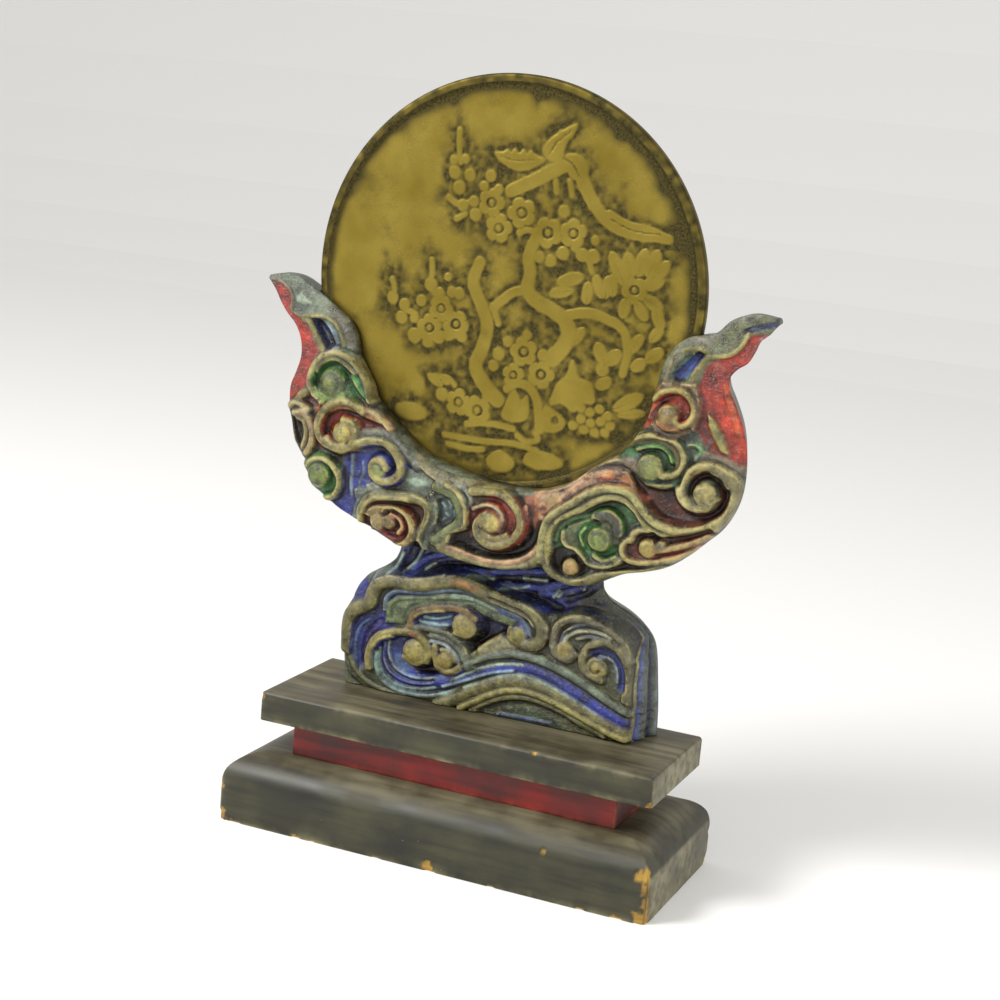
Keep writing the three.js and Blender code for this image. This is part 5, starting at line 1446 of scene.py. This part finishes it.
def disc():
    """Rows of the square grid for the front; the back is a coarser set of rings. The field stays
    level. At the distance d from a motif the ground sinks by (0.26 + grains) exp(-(d / r)^2),
    where r is about 5 mm and is made ragged by noise, so that the punched ground has no even
    border. Patina lies on the ground, under the rim's wall, and in part on the rim."""
    outside = np.clip(-motif, 0, None)
    grains = clouding(at, 2.1, 5) + 0.5 * clouding(at, 1.1, 6)
    patches = clouding(at, 9, 7) + 0.6 * clouding(at, 4, 8)
    ragged = 5.2 + 2.4 * patches
    ground = np.exp(-(outside / np.clip(ragged, 1.0, None)) ** 2) * ease(-0.4, 1.0, -motif)
    sunk = ground * (0.26 + 0.12 * grains) + 0.03 * patches
    r = disc_r.ravel()
    angle = np.arctan2(at[:, 1], at[:, 0])
    inner = MIRROR_RADIUS - RIM
    wall = 1 - ease(inner - 1.1, inner - 0.1, r)
    y = DISC_FRONT + wall * (SUNK + sunk * ease(inner - 1, inner - 4, r))
    y += 0.9 * ease(MIRROR_RADIUS - 1.0, MIRROR_RADIUS, r) ** 2
    # the dark ring inside the rim is widest at the upper right
    toward = 0.5 + 0.5 * np.cos(angle - math.radians(50))
    ring_width = 1.6 + 3.2 * toward + patches
    ring_dark = np.exp(-((r - inner + 1) / ring_width) ** 2) * (0.55 + 0.5 * toward)
    rim_wear = ease(inner - 1, inner, r) * (0.62 + 0.3 * clouding(at, 3, 11))
    patina = np.clip(ground * (0.8 + 0.35 * grains) + ring_dark * (r < inner) + rim_wear, 0, 1)
    patina = np.clip(patina + 0.5 * np.clip(patches - 0.9, 0, 1), 0, 1)

    n = DISC_SIZE
    i, j = np.mgrid[:n - 1, :n - 1]
    k = i * n + j
    front = np.stack([k + n, k + n + 1, k + 1, k], -1).reshape(-1, 4)
    step = np.arange(n)
    border = np.r_[step, step[1:] * n + n - 1, (n - 1) * n + step[-2::-1], step[-2:0:-1] * n]
    edge, count = at[border], len(border)
    rings = [np.c_[edge[:, 0] * q / MIRROR_RADIUS, np.full(count, DISC_BACK - d),
                   edge[:, 1] * q / MIRROR_RADIUS] for q, d in BACK_RINGS]
    b = np.arange(count)
    after = (b + 1) % count
    ids = [border] + [n * n + k * count + b for k in range(len(rings))]
    quads = [np.stack([p[b], p[after], q[after], q[b]], 1) for p, q in zip(ids[:-1], ids[1:])]
    all_points = np.vstack([np.c_[at[:, 0], y, at[:, 1]], *rings])
    points = leaned(*all_points.T, MIRROR)
    faces = outward(points, [front, np.vstack(quads), ids[-1][None]])
    worn = np.r_[patina, np.full(len(all_points) - len(patina), BACK_PATINA)]
    return build("bronze_mirror", points, faces, BRONZE, {"patina": worn})


finish_piece(disc(), "bronze", "mirror")

# %% [markdown]
# ## The three boards
#
# Under the carving lie three plain boards, lacquered a dark olive brown, with the middle one
# smaller and red. Each is a rounded rectangle swept up a profile: it starts and ends with a small
# rounding, and the bottom board is rounded over in a wide curve. Lacquer wears first where hands
# and cloths reach, along the edges, and a knock on a corner takes it off down to the pale wood.

# %% Lacquer
def lacquer(name):
    """Dark lacquer brushed on wood: a non-metal of IOR 1.5. Brush streaks are 40 mm long and
    4.5 mm apart, and grime lies in patches of 22 mm. Flecks of dust are 1.4 mm, coarser than
    the real ones, so that they show."""
    made, tree, shader = new_material(name)
    place = node(tree, "ShaderNodeTexCoord").outputs["Object"]
    bare = node(tree, "ShaderNodeVertexColor", layer_name="paint")
    long, wide = 1 / (40 * MM), 1 / (4.55 * MM)
    along = node(tree, "ShaderNodeMapping", {"Vector": place, "Scale": (long, wide, wide)})
    streak = node(tree, "ShaderNodeTexNoise", {"Vector": along, "Scale": 1, "Detail": 6})
    cloudy, fleck = (node(tree, "ShaderNodeTexNoise", {"Vector": place, "Detail": detail,
                                                       "Scale": 1 / (size * MM)})
                     for size, detail in ((22.2, 5), (1.43, 2)))
    tint = node(tree, "ShaderNodeValToRGB", {"Fac": streak},
                [(0.32, "#a09a8c"), (0.55, "#e8e6dc"), (0.75, "#ffffff")])
    grime = node(tree, "ShaderNodeValToRGB", {"Fac": cloudy}, [(0.35, "#a8a49a"), (0.6, "#ffffff")])
    dust = node(tree, "ShaderNodeMapRange", {"Value": fleck, "From Min": 0.76, "From Max": 0.82,
                                             "To Max": 0.4})
    colour = bare
    for kind, amount, over in (("MULTIPLY", 1.0, tint), ("MULTIPLY", 1.0, grime),
                               ("MIX", dust, tone("#a8a68c", 1))):
        colour = node(tree, "ShaderNodeMix", {0: amount, 6: colour, 7: over}, data_type="RGBA",
                      blend_type=kind).outputs[2]
    gloss = node(tree, "ShaderNodeMapRange", {"Value": cloudy, "From Min": 0.3, "From Max": 0.7,
                                              "To Min": 0.42, "To Max": 0.62})
    bump = node(tree, "ShaderNodeBump", {"Height": streak, "Strength": 0.2,
                                         "Distance": 0.5 * MM})
    connect(tree, shader, {"Base Color": colour, "Roughness": gloss, "Normal": bump})
    return made


DARK_LACQUER, RED_LACQUER = lacquer("dark_lacquer"), lacquer("red_lacquer")
print("lacquer:", len(RED_LACQUER.node_tree.nodes), "nodes")


# %% Boards
SIDES, ARC = (280, 120), 9


def rectangle(half_x, half_y, corner):
    """Points round a rectangle: each corner is a quarter circle and each side has even steps."""
    parts = []
    for quarter, (sx, sy) in enumerate(((1, 1), (-1, 1), (-1, -1), (1, -1))):
        a = math.pi / 2 * (quarter + np.linspace(0, 1, ARC))
        arc = np.array([sx * (half_x - corner), sy * (half_y - corner)])
        arc = arc + corner * np.stack([np.cos(a), np.sin(a)], 1)
        nx, ny = ((-1, 1), (-1, -1), (1, -1), (1, 1))[quarter]
        following = np.array([nx * (half_x - corner), ny * (half_y - corner)])
        following = following + corner * np.array([np.cos(a[-1]), np.sin(a[-1])])
        t = (np.arange(1, SIDES[quarter % 2]) / SIDES[quarter % 2])[:, None]
        parts += [arc, arc[-1] + (following - arc[-1]) * t]
    return np.vstack(parts)


def rounded(low, high, foot, over, inward, steps=14):
    """A profile (height, inset): square below but for a little rounding, a quarter ellipse above
    that is over high and inward deep."""
    a = np.linspace(0, math.pi / 2, steps)
    lower = np.stack([low + foot * (1 - np.cos(a[::3])), foot * (1 - np.sin(a[::3]))], 1)
    upper = np.stack([high - over * (1 - np.sin(a)), inward * (1 - np.cos(a))], 1)
    sides = np.linspace(low + foot, high - over, 22)[1:-1]
    return np.vstack([lower, np.stack([sides, sides * 0], 1), upper])


BARE_WOOD = "#c9a040"
TOP_RINGS = (2, 5, 9, 14, 20)


def board(name, low, high, corner, profile, material, colours, chips):
    """One rounded rectangle for each step of the profile, stacked up, and a few more that close
    in over the top. The colours are those of the sides, the top, worn edges and the two ends; the
    top's and the ends' tones are painted light and shade. A chip, an x, y, z and size in mm, is a
    shallow bite down to the bare wood."""
    side_tone, lit_top_tone, worn_tone, end_light_and_shade_tone = (tone(code) for code in colours)
    half, middle = (high[:2] - low[:2]) / 2, (high[:2] + low[:2]) / 2
    insets = np.r_[profile, [[high[2], profile[-1, 1] + d] for d in TOP_RINGS]]
    loops = [rectangle(*(half - inset), max(corner - inset, 0.05)) for _, inset in insets]
    rows = [np.c_[loop + middle, np.full(len(loop), z)] for loop, (z, _) in zip(loops, insets)]
    points = np.concatenate(rows)
    paint = np.tile(side_tone, (len(points), 1))
    in_from_side = (insets[:, 1] / max(profile[-1, 1], 0.6)).clip(0, 1)
    # the upper rounding and the top take the top's tone, painted light
    top = ease(0.02, 0.5, np.repeat(in_from_side, len(loops[0])))
    paint += top[:, None] * (lit_top_tone - paint)
    # the two ends take their own tone: painted light on the olive boards, painted shade on the red
    # one
    at_end = np.abs(points[:, 0] - middle[0]) > half[0] - 0.4
    paint += (at_end * 0.8)[:, None] * (end_light_and_shade_tone - paint)
    side = half - np.abs(points[:, :2] - middle)
    upright = np.hypot(*np.clip(side, 0, None).T)
    from_foot, from_top = np.abs(points[:, 2] - low[2]), np.abs(points[:, 2] - high[2])
    near = np.minimum(upright, np.minimum(from_foot, from_top + side.min(1)))
    rubs = clouding(points, 7, 2) + 0.6 * clouding(points, 2, 3)
    worn = np.exp(-near / 1.2) * ease(-0.5, 0.9, rubs)
    paint += worn[:, None] * (worn_tone - paint)
    for x, y, z, size in chips:
        tall = 0.55 if z < 1 else 1.2
        d = np.sqrt((((points - (x, y, z)) / (size * 1.2, size, size * tall)) ** 2).sum(1))
        d = d + 0.4 * clouding(points, 1.5, int(abs(x) + z))
        bite = ease(1.0, 0.75, d)
        pull = np.r_[middle, (low[2] + high[2]) / 2] - points
        points += bite[:, None] * 0.7 * np.sign(pull) * (np.abs(pull) > (np.r_[half, 1e9] - 1.0))
        paint += bite[:, None] * (tone(BARE_WOOD) - paint)
    points[:, 2] = np.maximum(points[:, 2], low[2])
    faces = outward(points, tube_faces(len(rows), len(rows[0])))
    return build(name, points * MM, faces, material, {"paint": paint})


# sides, top, worn edges and ends: the olive top and ends are paler as painted light, the red ends
# darker as painted shade
OLIVE = ("#3d3c25", "#6e6852", "#9a9370", "#9a957a")
CRIMSON = ("#7a1005", "#7a1005", "#a8482a", "#4a120a")
TOP_CHIPS = ((91.5, -29.5, 44, 2.2), (-86.5, -29.5, 55, 1.6), (40, -29.5, 57, 1.2))
BOTTOM_CHIPS = ((97.5, -40.5, 2, 4.4), (97.5, -40.5, 9, 2.2), (97.5, -40.5, 14, 2.6),
                (97.5, -40.5, 21, 3.8), (93, -40.5, 20, 2.0), (97.5, 38, 1, 3),
                (97.5, 39, 14, 1.6), (-97.5, -40.5, 2, 3.4), (-97.5, -40.5, 16, 1.8),
                (-90, -40.5, 0, 2.4), (-60, -40.5, 0, 2.2), (-52, -40.5, 0, 1.4),
                (-22, -40.5, 0, 1.6), (2, -40.5, 2, 1.9), (3, -40.5, 0, 2.0), (31, -40.5, 0, 1.6),
                (52, -40.5, 20, 1.2), (70, -40.5, 0, 1.7), (84, -40.5, 0, 2.6))
DARK, RED = ("dark_lacquer", DARK_LACQUER, OLIVE), ("red_lacquer", RED_LACQUER, CRIMSON)
# piece, CAD node, corner radius, how high and how deep the upper rounding is, look and chips
BOARDS = (("top_plank", "top_board", 1.6, 1.8, 2.2, DARK, TOP_CHIPS),
          ("waist_block", "waist", 0.6, 0.4, 0.4, RED, ()),
          ("bottom_plank", "bottom_board", 2.0, 13.0, 16.0, DARK, BOTTOM_CHIPS))
for name, of, corner, over, inward, (slot, material, colours), chips in BOARDS:
    low, high = (np.array(c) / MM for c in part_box(of))
    profile = rounded(low[2], high[2], 0.4, over, inward)
    made = board(name, low, high, corner, profile, material, colours, chips)
    finish_piece(made, slot, of)
